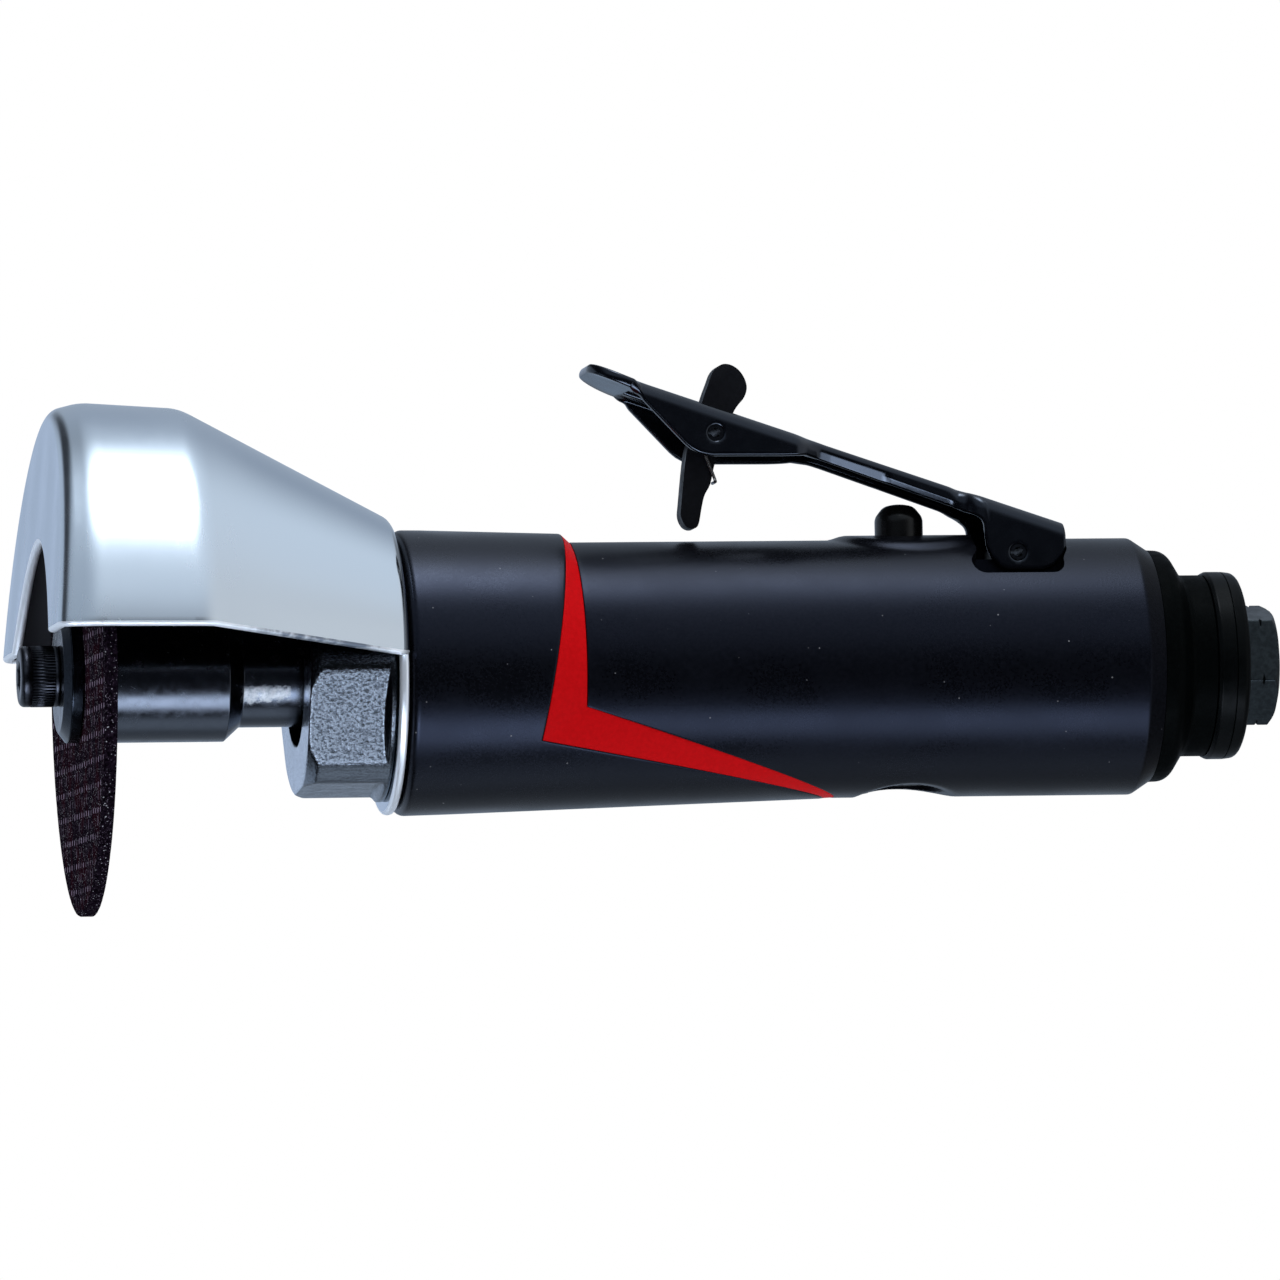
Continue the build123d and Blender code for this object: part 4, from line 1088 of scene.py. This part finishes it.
def pocket_walls(z):
    up = eased(z, 16.0, 18.5)
    return POCKET_FRONT + 1.5 * up, POCKET_REAR - 1.2 * (1 - up)


def in_pocket(p):
    low, high = pocket_walls(p.z)
    if p.z < POCKET_FLOOR or not low < p.x < high or sqrt(p.y ** 2 + p.z ** 2) < 19.0:
        return False
    dx = max(low + POCKET_CORNER - p.x, p.x - high + POCKET_CORNER, 0.0)
    dz = max(POCKET_FLOOR + POCKET_CORNER - p.z, 0.0)
    return dx * dx + dz * dz < POCKET_CORNER ** 2 if dx and dz else True


def to_pocket(p):
    """Nearest point of the pocket's outline, on the sleeve's surface."""
    r = sqrt(p.y ** 2 + p.z ** 2)
    low, high = pocket_walls(p.z)
    cx = max(low + POCKET_CORNER, min(high - POCKET_CORNER, p.x))
    cz = max(POCKET_FLOOR + POCKET_CORNER, p.z)
    out = Vector((p.x - cx, p.z - cz))
    if out.length > 1e-6:
        out = out.normalized() * POCKET_CORNER
        x = cx + out.x
        z = cz + out.y
    else:
        gaps = {(low, p.z): p.x - low, (high, p.z): high - p.x, (p.x, POCKET_FLOOR): p.z - POCKET_FLOOR}
        x, z = min(gaps, key=gaps.get)
    if p.z >= POCKET_FLOOR + POCKET_CORNER:
        x = low if p.x < (POCKET_FRONT + POCKET_REAR) / 2 else high
    z = min(z, r - 1e-3)
    if abs(p.y) <= 1e-6:
        return (x, 0.0, r)
    return (x, (1 if p.y > 0 else -1) * sqrt(max(0.0, r * r - z * z)), z)


def valve_hole(sleeve, radius, above):
    """Round hole on the valve's axis, through the top or the bottom of the sleeve."""
    def inside(p):
        return (p.z > 0) == above and (p.x - X_VALVE) ** 2 + p.y ** 2 < radius * radius and abs(p.z) > 12

    def snap(p):
        out = Vector((p.x - X_VALVE, p.y)).normalized() * radius
        z = sqrt(max(0.0, p.y ** 2 + p.z ** 2 - out.y ** 2))
        return (X_VALVE + out.x, out.y, z if above else -z)

    cut_hole(sleeve, inside, snap, lambda p: (0.0, 0.0, -1.0 if above else 1.0))


def make_rear_sleeve():
    turns = v_turns(150, INNER_KINK, INNER_TOP_KINK)
    joint = -66.5
    saddle_half = 6.7
    saddle_top = 16.6
    saddle_foot = 10.0
    points = [on_axis(inner_v(t) + PARTING[-1][0], SLEEVE_BORE_R, t) for t in turns]
    for x_in, drop in reversed(PARTING):
        points += [on_axis(inner_v(t) + x_in, rear_radius(inner_v(t) + x_in, t) - drop, t) for t in turns]
    for share in spread(0.015, 1.0, 66):
        for t in turns:
            x = mix(inner_v(t) + PARTING[0][0], joint, share)
            points.append(on_axis(x, rear_radius(x, t), t))
    edge_rows = spread(X_CAP - 3.25, X_CAP - 2.3, 9) + spread(X_CAP - 2.0, X_CAP - 0.02, 6)
    for x in spread(joint + 0.6, X_CAP - 3.4, 73) + edge_rows:
        points += [on_axis(x, rear_radius(x, t), t) for t in turns]
    for r in (17.9, SLEEVE_BORE_R - 0.9):
        points += [on_axis(X_CAP, r, t) for t in turns]
    sleeve = piece_from("rear_sleeve", points, ring_faces(len(points) // len(turns), len(turns)))
    cut_hole(sleeve, in_pocket, to_pocket, lambda p: -Vector((0, p.y, p.z)).normalized())
    saddle = opened(sleeve)
    block = rounded([
        (POCKET_FRONT, saddle_foot, 0), (POCKET_FRONT, saddle_top, 1.0),
        (POCKET_REAR, saddle_top, 1.0), (POCKET_REAR, saddle_foot, 0),
    ], steps=4)
    ends = [[saddle.verts.new(Vector((x, y, z)) * MM) for x, z in block] for y in (-saddle_half, saddle_half)]
    for k in range(len(block)):
        n = (k + 1) % len(block)
        saddle.faces.new((ends[0][k], ends[0][n], ends[1][n], ends[1][k]))
    for end in ends:
        saddle.faces.new(end)
    closed_up(saddle, sleeve)
    valve_hole(sleeve, BUTTON_R + 0.25, True)
    valve_hole(sleeve, PLUG_HOLE_R, False)
    sleeve.data.set_sharp_from_angle(angle=radians(45))
    dress(sleeve, rear_black, "housing", "rear_grip")


make_rear_sleeve()

# Rear end: cap, turning exhaust ring and inlet hexagon
CAP_SKIRT_R = 17.0
CAP_BORE_R = 7.6
MUFFLER_R = 12.6
X_CAP_END = -6.6
cap = turned("cap_moulding", [
    (X_CAP, CAP_SKIRT_R, 0), (X_CAP, GRIP_R - 1.95, 0.2), (X_CAP + 2.75, GRIP_R - 2.05, 2.4),
    (X_CAP + 5.2, RING_R - 0.5, 1.2), (X_RING_FRONT - 0.1, RING_R - 0.5, 0.1),
    (X_RING_FRONT - 0.1, HUB_R, 0.1), (X_CAP_END, HUB_R, 0.2), (X_CAP_END, CAP_BORE_R, 0.1),
    (X_CAP + 9.0, CAP_BORE_R, 0.1), (X_CAP + 9.0, MUFFLER_R, 0.1), (X_CAP + 2.0, MUFFLER_R, 0.1),
    (X_CAP + 2.0, CAP_SKIRT_R, 0),
], closed=True, steps=8)
dress(cap, cap_black, "housing", "rear_cap")


def drilling_tree():
    """Ring with a circle of round holes drilled in along the tool's axis."""
    t = Grower("ring_drilling", True, Holes=12, Circle=0.012, Hole=0.0008, Depth=0.004, Station=0.0)
    drills = t.round_axis("Holes", "Circle", 28, "Hole", "Depth")
    drills = t.fed("GeometryNodeRealizeInstances", {"Geometry": drills})
    cut = t.add("GeometryNodeMeshBoolean", operation="DIFFERENCE", solver="EXACT")
    t.link(t.given["Start"], cut.inputs["Mesh 1"])
    t.link(drills.outputs["Geometry"], cut.inputs["Mesh 2"])
    return t.end(cut.outputs["Mesh"])


def make_ring():
    groove = X_RING - 2.3
    web_r = RING_R - 1.4
    seat_r = HUB_R + 0.08
    ring = turned("ring_moulding", [
        (X_RING_FRONT, web_r, 0.1), (X_RING_FRONT, RING_R - 0.3, 0.15), (X_RING_FRONT + 0.6, RING_R, 0.6),
        (groove - 0.10, RING_R, 0.05), (groove, RING_R - 0.22, 0.03), (groove + 0.10, RING_R, 0.05),
        (X_RING, RING_R - 0.25, 1.9), (X_RING, seat_r, 0.25), (X_RING - 2.0, seat_r, 0.1),
        (X_RING - 2.0, web_r, 0.1),
    ], closed=True)
    hole_circle = (HUB_R + RING_R) / 2 - 0.45
    grow(
        ring, drilling_tree(), Holes=12, Circle=hole_circle * MM, Hole=0.85 * MM, Depth=6.0 * MM,
        Station=X_RING * MM, Finish=ring_black,
    )
    ring.data.shade_smooth()
    ring.data.set_sharp_from_angle(angle=radians(40))
    dress(ring, ring_black, "ring", "exhaust_ring")


make_ring()


def make_hexagon():
    """Inlet bushing: chamfered hexagon with a light groove round it, a threaded mouth and a plain shank."""
    corner = HEX_FLAT / cos(pi / 6)
    thread_end = -12.0
    thread_pitch = 0.5
    root_r = 5.7
    crest_r = 5.25
    groove_x = -2.75
    groove_r = HEX_FLAT + 0.78
    groove_slope = 3.0
    chamfer_slope = 1.3
    flats_turn = radians(18)

    def side(x, turn):
        offset = (turn + flats_turn) % (pi / 3) - pi / 6
        cone = corner + 0.1 - max(0.0, x + 1.0) * chamfer_slope
        groove = groove_r + abs(x - groove_x) * groove_slope
        return soft_min(0.05, HEX_FLAT / cos(offset), max(cone, 5.0), groove)

    rows = [(thread_end - 1.2, BUSHING_BORE_R), (thread_end - 1.2, 5.2), (thread_end, 5.2)]
    for k in range(21):
        x = thread_end + k * thread_pitch
        rows += [(x, root_r), (x + thread_pitch / 2, crest_r)]
    rows += [(-1.2, 5.75), (-0.15, 6.35), (0.0, 6.6), (0.0, 7.4)]
    rows += [(0.0, lambda t: side(0.0, t) - 0.15), (-0.05, lambda t: side(0.0, t))]
    for x in spread(-0.25, X_HEX_REAR + 0.2, 42):
        rows.append((x, lambda t, at=x: side(at, t)))
    rows.append((X_HEX_REAR, lambda t: side(X_HEX_REAR + 0.2, t) - 0.12))
    rows += [(X_HEX_REAR, BUSHING_R + 0.6), (X_HEX_REAR, BUSHING_R)]
    rows += [(X_BUSHING_END, BUSHING_R), (X_BUSHING_END, BUSHING_BORE_R)]
    hexagon = ringed("inlet_hexagon", rows, 360)
    hexagon.data.set_sharp_from_angle(angle=radians(60))
    dress(hexagon, dark_steel, "housing", "inlet_bushing")


make_hexagon()

# Throttle lever: one bent sheet with deep front flanges, a narrow rolled arm, two ears and a flat spoon nose
LEVER_LOW = [
    (-68.5, 28.6), (-67.9, 28.4), (-64.0, 27.2), (-60.6, 25.7), (-59.8, 25.0), (-58.6, 23.9), (-52.3, 17.2),
    (-51.4, 16.45), (-50.2, 15.8), (-48.6, 15.45), (-37.0, 15.4), (-35.0, 15.45), (-33.0, 15.5),
    (-30.0, 14.45), (-9.4, 7.0), (-8.0, 6.4), (-6.6, 5.8), (-5.5, 5.1), (-5.0, 4.4), (-4.75, 1.2),
    (-4.1, -0.8), (-2.6, -2.5), (-1.4, -2.9), (4.0, -2.9), (5.6, -2.3), (6.9, -0.9), (7.6, 0.2),
]
LEVER_HALF_LINE = [
    (-68.5, 8.5), (-35.5, 8.5), (-34.6, 8.4), (-33.6, 7.9), (-32.2, 6.9), (-31.0, 6.25), (-29.6, 6.0),
    (-9.8, 6.0), (-9.0, 6.1), (-7.8, 6.8), (-6.8, 7.8), (-5.9, 8.35), (-5.2, 8.5), (7.6, 8.5),
]
NOSE_R = 5.0
NOSE_X = -61.6
LEVER_ROWS = 26
LEVER_BEND = 2.1
LEVER_ROLL = 0.42
LEVER_LEVEL = 7.15
LEVER_SLOPE = 0.34
CURL_FROM = -58.0
CURL = 0.010
LEAST_FLANGE = 0.12
ARM_BEND = 1.0
# Stations between which the flanges fade in behind the nose, and the arm starts, stands upright and ends
FLANGE_START = (-60.6, -58.6)
ARM_START = (-33.4, -30.8)
ARM_UPRIGHT = (-20.6, -19.6)
ARM_END = (-10.5, -8.5)


def lever_top(dx):
    curl = max(0.0, CURL_FROM - dx)
    return LEVER_LEVEL - LEVER_SLOPE * dx + CURL * curl * curl


def lever_stations():
    """Plan line of the near edge, rear to nose: station, half width and outward direction."""
    middle = CATCH_PIVOT[0] - PIVOT[0]
    front = middle - 12.5
    rear = middle + 10.9
    marks = spread(7.3, -9.9, 50) + spread(-10.3, rear + 0.4, 54) + [rear] + spread(rear - 0.5, -57.2, 42)
    marks += spread(-57.36, front + 0.15, 18) + [front] + spread(front - 0.15, NOSE_X, 9)
    path = [(dx, along(LEVER_HALF_LINE, dx), 0.0, 1.0) for dx in marks]
    side = LEVER_HALF - NOSE_R
    for k in range(1, 15):
        a = pi / 2 * k / 14
        path.append((NOSE_X - NOSE_R * sin(a), side + NOSE_R * cos(a), -sin(a), cos(a)))
    path += [(NOSE_X - NOSE_R, side * (1 - k / 5), -1.0, 0.0) for k in range(1, 6)]
    return path, (front, rear)


def lever_section(dx, half, nx, ny, slot_half):
    """Points from the lever's middle line out over the bend and down the flange."""
    at_nose = nx < 0
    deep = max(LEAST_FLANGE, lever_top(dx) - along(LEVER_LOW, dx) - 0.45)
    deep = mix(LEAST_FLANGE, deep, eased(dx, *FLANGE_START))
    on_arm = eased(dx, *ARM_START) * (1 - eased(dx, *ARM_END))
    rear_arm = eased(dx, *ARM_UPRIGHT)
    if deep <= LEVER_BEND and not on_arm:
        inset_by = LEVER_BEND
        radius = (LEVER_BEND ** 2 + deep * deep) / (2 * deep)
        sweep = 2 * atan2(deep, LEVER_BEND)
    else:
        inset_by = radius = mix(LEVER_BEND, ARM_BEND, on_arm)
        sweep = radians(mix(90, 115, on_arm * (1 - rear_arm)))
    edge = Vector((dx, half))
    out = Vector((nx, ny))
    inset = edge - out * inset_by
    if at_nose:
        spine = Vector((NOSE_X, 0.0))
        section = [(spine.lerp(inset, t), 0.0) for t in (0.0, 0.3, 0.53, 0.77, 1.0)]
    else:
        reach = inset.y - slot_half
        widths = (0.0, slot_half, slot_half + reach / 3, slot_half + reach / 1.5, inset.y)
        section = [(Vector((dx, y)), 0.0) for y in widths]
    turned_in = inset_by - radius * sin(sweep)
    start = radius * (1 - cos(sweep))
    below = max(0.0, deep - start)
    curve = radius * sweep
    for k in range(1, LEVER_ROWS + 1):
        run = (curve + below) * k / LEVER_ROWS
        if run <= curve:
            a = run / radius
            section.append((inset + out * (radius * sin(a)), radius * (1 - cos(a))))
            continue
        fall = run - curve
        leaning = mix(0.47 * fall, 0.62 * max(0.0, fall - below + 0.8), rear_arm)
        section.append((edge - out * (turned_in + on_arm * leaning), start + fall))
    return [(p.x, p.y, lever_top(p.x) - drop) for p, drop in section]


def pin_hole(skin, centre, radius, clear, sides=28):
    """Round hole through both flanges of a skin, in clean facets."""
    for sign in (-1, 1):
        gone = []
        for face in skin.faces:
            at = face.calc_center_median()
            if at.y * sign > 4.0 and sqrt((at.x - centre[0]) ** 2 + (at.z - centre[1]) ** 2) < clear:
                gone.append(face)
        level = sum(face.calc_center_median().y for face in gone) / len(gone)
        before = {e for e in skin.edges if e.is_boundary}
        bmesh.ops.delete(skin, geom=gone, context="FACES")
        edges = [e for e in skin.edges if e.is_boundary and e not in before]
        edges += loop_edges(skin, [skin.verts.new((x, level, z)) for x, z in circle(centre, radius, sides)])
        bmesh.ops.triangle_fill(skin, edges=edges, use_beauty=True, normal=(0.0, sign, 0.0))


def make_lever():
    slot_half = CATCH_T / 2 + 0.75
    path, slot = lever_stations()
    skin = bmesh.new()
    for sign in (1, -1):
        lines = []
        for mark in path:
            section = lever_section(*mark, slot_half)
            lines.append([skin.verts.new((PIVOT[0] + x, sign * y, PIVOT[1] + z)) for x, y, z in section])
        for mark, a, b in zip(path, lines, lines[1:]):
            over_slot = slot[0] + 0.01 < mark[0] <= slot[1] + 0.01
            for k in range(1 if over_slot else 0, len(a) - 1):
                skin.faces.new((a[k], a[k + 1], b[k + 1], b[k]))
    bmesh.ops.remove_doubles(skin, verts=skin.verts, dist=0.012)
    drop_loose(skin)
    for centre in (PIVOT, CATCH_PIVOT):
        pin_hole(skin, centre, PIN_R + 0.35, 2.0)
    lever = finish_sheet("lever_pressing", skin, LEVER_T, LEVER_ROLL)[0]
    dress(lever, lever_black, "lever", "throttle_lever")


make_lever()


# Safety catch: thick rounded blade on its pin
def smooth_loop(points, per_side):
    """Closed soft curve through the given points."""
    out = []
    n = len(points)
    for i in range(n):
        p0, p1, p2, p3 = (Vector(points[(i + j - 1) % n]) for j in range(4))
        for k in range(per_side):
            t = k / per_side
            squared = (2 * p0 - 5 * p1 + 4 * p2 - p3) * t * t
            cubed = (3 * p1 - p0 - 3 * p2 + p3) * t ** 3
            out.append(0.5 * (2 * p1 + (p2 - p0) * t + squared + cubed))
    return [(p.x, p.y) for p in out]


def make_catch():
    outline = smooth_loop([
        (-0.9, 5.9), (0.05, 8.4), (0.75, 10.1), (1.6, 11.0), (2.6, 11.4), (3.85, 11.15), (5.05, 10.25),
        (5.9, 8.8), (6.1, 7.4), (5.6, 6.0), (4.6, 4.8), (3.8, 3.5), (2.3, 0.0), (0.75, -4.4), (0.0, -7.5),
        (-0.95, -9.3), (-1.45, -11.2), (-1.95, -13.7), (-2.5, -14.45), (-3.4, -14.5), (-4.25, -13.9),
        (-4.8, -12.5), (-4.65, -10.4), (-3.76, -3.04), (-2.8, 0.0),
    ], 5)
    half = CATCH_T / 2
    blade = [(CATCH_PIVOT[0] + x, CATCH_PIVOT[1] + z) for x, z in outline]
    work = bmesh.new()
    sides = []
    for loop in (blade, circle(CATCH_PIVOT, PIN_R + 0.05, 32)):
        sides += loop_edges(work, [work.verts.new(Vector((x, -half, z)) * MM) for x, z in loop])
    bmesh.ops.triangle_fill(work, edges=sides, use_beauty=True)
    whole = bmesh.ops.extrude_face_region(work, geom=list(work.faces))
    for v in [g for g in whole["geom"] if isinstance(g, bmesh.types.BMVert)]:
        v.co.y = half * MM
    catch = placed("catch_blade", bpy.data.meshes.new("catch_blade"))
    closed_up(work, catch)
    catch.data.shade_smooth()
    soft_edge = catch.modifiers.new("edge", "BEVEL")
    soft_edge.width = 0.55 * MM
    soft_edge.segments = 4
    soft_edge.limit_method = "ANGLE"
    soft_edge.angle_limit = radians(50)
    soft_edge.miter_outer = "MITER_ARC"
    even_shading(catch)
    settle(catch)
    dress(catch, catch_black, "catch", "safety_catch")


make_catch()


# Springs and button: wire along a path, and the round head under the lever
def wire_tree():
    """Round wire that follows a path of points."""
    t = Grower("round_wire", True, Radius=0.00025, Sides=12)
    path = t.fed("GeometryNodeMeshToCurve", {"Mesh": t.given["Start"]})
    section = t.fed("GeometryNodeCurvePrimitiveCircle", {
        "Resolution": t.given["Sides"], "Radius": t.given["Radius"],
    })
    tube = t.fed("GeometryNodeCurveToMesh", {
        "Curve": path.outputs["Curve"], "Profile Curve": section.outputs["Curve"], "Fill Caps": True,
    })
    return t.end(tube.outputs["Mesh"])


def wound(name, path, wire_r):
    """Spring wire of the given radius along a path."""
    mesh = bpy.data.meshes.new(name)
    mesh.from_pydata([Vector(p) * MM for p in path], [(i, i + 1) for i in range(len(path) - 1)], [])
    spring = grow(placed(name, mesh), round_wire, Radius=wire_r * MM, Sides=12, Finish=wire_steel)
    spring.data.shade_smooth()
    coat(spring, wire_steel)
    return spring


def make_catch_spring():
    """Coil round the catch's pin, one leg hooked over the catch and the other lying along the lever."""
    wire_r = 0.25
    coil_r = PIN_R + 0.5
    pitch = 0.56
    turns = 3.355
    coil_y = -CATCH_T / 2 - wire_r - 0.1
    hook = (0.8, -7.2)
    start = atan2(-0.324, -0.946)
    coil = []
    for k in range(101):
        t = turns * k / 100
        a = start + 2 * pi * t
        coil.append((CATCH_PIVOT[0] + coil_r * cos(a), coil_y - pitch * t, CATCH_PIVOT[1] + coil_r * sin(a)))
    bend_at = (CATCH_PIVOT[0] + hook[0], coil_y, CATCH_PIVOT[1] + hook[1])
    path = [(bend_at[0], y, bend_at[2]) for y in (1.0, -1.2, coil_y + 0.25)]
    path += [tuple(mix(bend_at[j], coil[0][j], t) for j in range(3)) for t in spread(0.06, 0.96, 12)]
    end = coil[-1]
    path += coil + [(end[0] + d, end[1], end[2] - LEVER_SLOPE * d) for d in (1.6, 3.2, 4.9, 6.6)]
    spring = wound("catch_wire", path, wire_r)

    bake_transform(spring)
    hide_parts("catch_spring")


def make_valve_spring():
    """Coil under the plunger's head, with a closed turn at each end."""
    wire_r = 0.4
    coil_r = 2.6
    turns = 8
    low, high = (corner.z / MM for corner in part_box("valve_spring"))
    foot = low + wire_r
    top = high - wire_r
    closed = 2.1 * wire_r
    steps = 28 * turns
    coil = []
    for k in range(steps + 1):
        turn = turns * k / steps
        if turn < 1:
            z = foot + closed * turn
        elif turn > turns - 1:
            z = top - closed * (turns - turn)
        else:
            z = mix(foot + closed, top - closed, (turn - 1) / (turns - 2))
        coil.append(on_valve(z, coil_r, 2 * pi * turn))
    spring = wound("valve_coil", coil, wire_r)
    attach(spring, "housing")
    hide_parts("valve_spring")
    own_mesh(spring)


round_wire = wire_tree()
make_catch_spring()
make_valve_spring()

button = turned("plunger_button", [
    (1.0, 0.0, 0), (1.0, 4.0, 0.2), (3.4, 4.0, 0.2), (3.4, 1.6, 0.2), (14.0, 1.6, 0.2),
    (14.0, BUTTON_R, 0.2), (BUTTON_TOP - 2.1, BUTTON_R, 2.0), (BUTTON_TOP - 0.3, 2.4, 2.2),
    (BUTTON_TOP, 0.9, 2.0), (BUTTON_TOP, 0.0, 0),
], turns=96, steps=6, place=on_valve)
dress(button, plunger_black, "plunger", "valve_plunger")

# Finishes of the CAD pieces that stay
for material, names in (
    (motor_steel, "front_bearing_outer front_bearing_inner front_bearing_balls rear_bearing_outer"),
    (motor_steel, "rear_bearing_inner rear_bearing_balls alignment_pin rotor inlet_screen"),
    (motor_iron, "cylinder front_end_plate rear_end_plate"),
    (housing_painted_shade, "motor_housing valve_plug"),
    (vane_resin, "vanes"),
    (bush_brass, "plunger_bush"),
    (pin_steel, "lever_pin catch_pin"),
    (seal_rubber, "dust_seal valve_seal plunger_seal plug_seal inlet_washer"),
    (felt_grey, "muffler"),
):
    for name in names.split():
        holder = nodes[name]
        if not holder.material_slots:
            holder.data.materials.append(material)
        for place in holder.material_slots:
            place.material = material

# Studio: white surround, pale floor, overhead soft box and camera
WHITE = (1.0, 1.0, 1.0, 1.0)
FILL = (0.76, 0.79, 0.84, 1.0)
FLOOR_Z = -300.0
FLOOR_R = 4000.0


def make_world():
    """White to the camera and an even fill; in mirror light, the bright and dark panels of a studio."""
    world = bpy.data.worlds.new("studio")
    bpy.context.scene.world = world
    world.use_nodes = True
    world.node_tree.nodes.clear()
    w = Nodes(world.node_tree)
    way = w.add("ShaderNodeTexCoord").outputs["Generated"]
    x, y, z = w.axes(way)
    left, near, below = (w.math("MULTIPLY", source, -1.0) for source in (x, y, z))

    def toward(*direction):
        n = w.add("ShaderNodeVectorMath", operation="DOT_PRODUCT")
        for source, socket in zip((way, direction), n.inputs):
            w.link(source, socket)
        return n.outputs["Value"]

    def lamp(colour):
        return w.fed("ShaderNodeBackground", {"Color": colour}).outputs[0]

    rear_side = toward(0.824, 0.521, -0.221)
    front_side = toward(-0.706, 0.670, -0.229)
    leftward = w.ranged(left, 0.02, 0.25)
    gap = w.product(w.ranged(front_side, -0.12, 0.36), w.ranged(front_side, 0.80, 0.66))
    lit = w.product(w.ranged(below, 0.58, 0.72), w.ranged(z, -0.94, -0.82))
    halo = w.product(w.ranged(y, -0.72, -0.36), w.ranged(near, -0.42, -0.15), w.ranged(left, -0.34, -0.22))
    floor_tone = w.blend(w.ranged(y, -0.25, 0.0), (0.06, 0.065, 0.08), (0.62, 0.72, 0.84))
    floor_tone = w.blend(w.ranged(y, 0.20, 0.50), floor_tone, (0.25, 0.29, 0.34))
    backdrop = w.blend(w.ranged(x, -0.24, -0.08), (0.32, 0.40, 0.56), (0.50, 0.61, 0.80))
    backdrop = w.blend(w.ranged(below, 0.04, 0.12), backdrop, (0.26, 0.35, 0.48))
    tone = w.blend(w.ranged(z, 0.02, 0.58), (0.028, 0.032, 0.041), (0.80, 0.90, 1.02))
    for share, colour in (
        (w.ranged(y, 0.15, 0.75), (0.37, 0.44, 0.54)),
        (w.product(halo, w.ranged(z, 0.60, 0.72)), (1.60, 1.78, 1.95)),
        (w.ranged(below, 0.30, 0.62), floor_tone),
        (w.product(lit, w.ranged(near, 0.05, 0.30)), (4.0, 4.6, 5.5)),
        (w.product(lit, w.ranged(near, 0.40, 0.60), w.ranged(left, 0.06, 0.20)), (12.0, 13.8, 16.5)),
        (w.product(w.ranged(x, 0.40, 0.75), w.ranged(below, -0.80, -0.30)), (0.80, 0.84, 0.89)),
        (w.product(w.ranged(rear_side, 0.65, 0.73), w.ranged(x, 0.30, 0.60)), (0.20, 0.22, 0.25)),
        (w.product(w.ranged(left, -0.10, 0.22), w.ranged(z, 0.0, 0.3)), (0.44, 0.52, 0.62)),
        (w.product(w.ranged(front_side, 0.66, 0.82), leftward), (0.50, 0.60, 0.74)),
        (w.product(gap, leftward), (0.030, 0.035, 0.045)),
        (w.ranged(y, 0.960, 0.984), backdrop),
    ):
        tone = w.blend(share, tone, colour)
    mirrored = w.either(w.ray("Is Glossy Ray"), lamp(FILL), lamp(tone))
    seen = w.either(w.ray("Is Camera Ray"), mirrored, lamp(WHITE))
    w.link(seen, w.add("ShaderNodeOutputWorld").inputs["Surface"])


def make_floor():
    """Pale disc below the tool, which fades to white far out where the camera sees it."""
    rings = 24
    columns = 96
    points = [(0.0, 0.0, FLOOR_Z)]
    for i in range(1, rings + 1):
        points += [(x, y, FLOOR_Z) for x, y in circle((0.0, 0.0), FLOOR_R * (i / rings) ** 1.5, columns)]
    faces = [(0, 1 + k, 1 + (k + 1) % columns) for k in range(columns)]
    faces += [tuple(1 + i for i in face) for face in ring_faces(rings, columns)]
    floor = piece_from("studio_floor", points, faces)
    f = Finish("pale_floor", (0.86, 0.87, 0.88), 0.9, 0.0, 0.1)
    away = f.add("ShaderNodeVectorMath", operation="LENGTH")
    f.link(f.place, away.inputs[0])
    far_seen = f.product(f.ray("Is Camera Ray"), f.over(away.outputs["Value"], 450.0, 1600.0))
    white = f.fed("ShaderNodeEmission", {"Color": WHITE}).outputs[0]
    surface = f.either(far_seen, f.shader.outputs[0], white)
    f.link(surface, f.tree.nodes["Material Output"].inputs["Surface"])
    floor.data.materials.append(f.material)
    floor.visible_glossy = False


def soft_box(name, at, wide, deep, power, colour):
    """Rectangular lamp whose light fades towards its edges, as a cloth-fronted box does."""
    lamp = bpy.data.lights.new(name, "AREA")
    lamp.shape = "RECTANGLE"
    lamp.size = wide
    lamp.size_y = deep
    lamp.energy = power
    lamp.color = colour
    lamp.use_nodes = True
    n = Nodes(lamp.node_tree)
    axes = n.axes(n.add("ShaderNodeNewGeometry").outputs["Parametric"])
    off_middle = [n.math("ABSOLUTE", n.math("SUBTRACT", axis, 0.5)) for axis in (axes["X"], axes["Y"])]
    share = n.product(*[n.ranged(off, 0.02, 0.5, 1.0, 0.0) for off in off_middle])
    n.link(n.math("POWER", share, 3.0), n.tree.nodes["Emission"].inputs["Strength"])
    box = placed(name, lamp)
    box.location = at
    box.visible_camera = False


make_world()
make_floor()
soft_box("overhead_box", (-0.06, -0.20, 0.85), 0.80, 1.09, 35.0, (0.82, 0.90, 1.0))

TARGET = Vector((-0.1006, 0.0, 0.00487))
CAMERA_AT = Vector((-0.4127, -1.9706, -0.1346))
ROLL = radians(1.15)
ahead = (TARGET - CAMERA_AT).normalized()
right = ahead.cross(Vector((0, 0, 1))).normalized()
up = right.cross(ahead)
right, up = right * cos(ROLL) - up * sin(ROLL), right * sin(ROLL) + up * cos(ROLL)
lens = bpy.data.cameras.new("studio_camera")
lens.lens = 358.4
lens.sensor_width = 36.0
lens.clip_end = 30.0
camera = placed("studio_camera", lens)
camera.matrix_world = Matrix((
    (right.x, up.x, -ahead.x, CAMERA_AT.x), (right.y, up.y, -ahead.y, CAMERA_AT.y),
    (right.z, up.z, -ahead.z, CAMERA_AT.z), (0, 0, 0, 1),
))
bpy.context.scene.camera = camera
bpy.context.scene.view_settings.view_transform = "Standard"
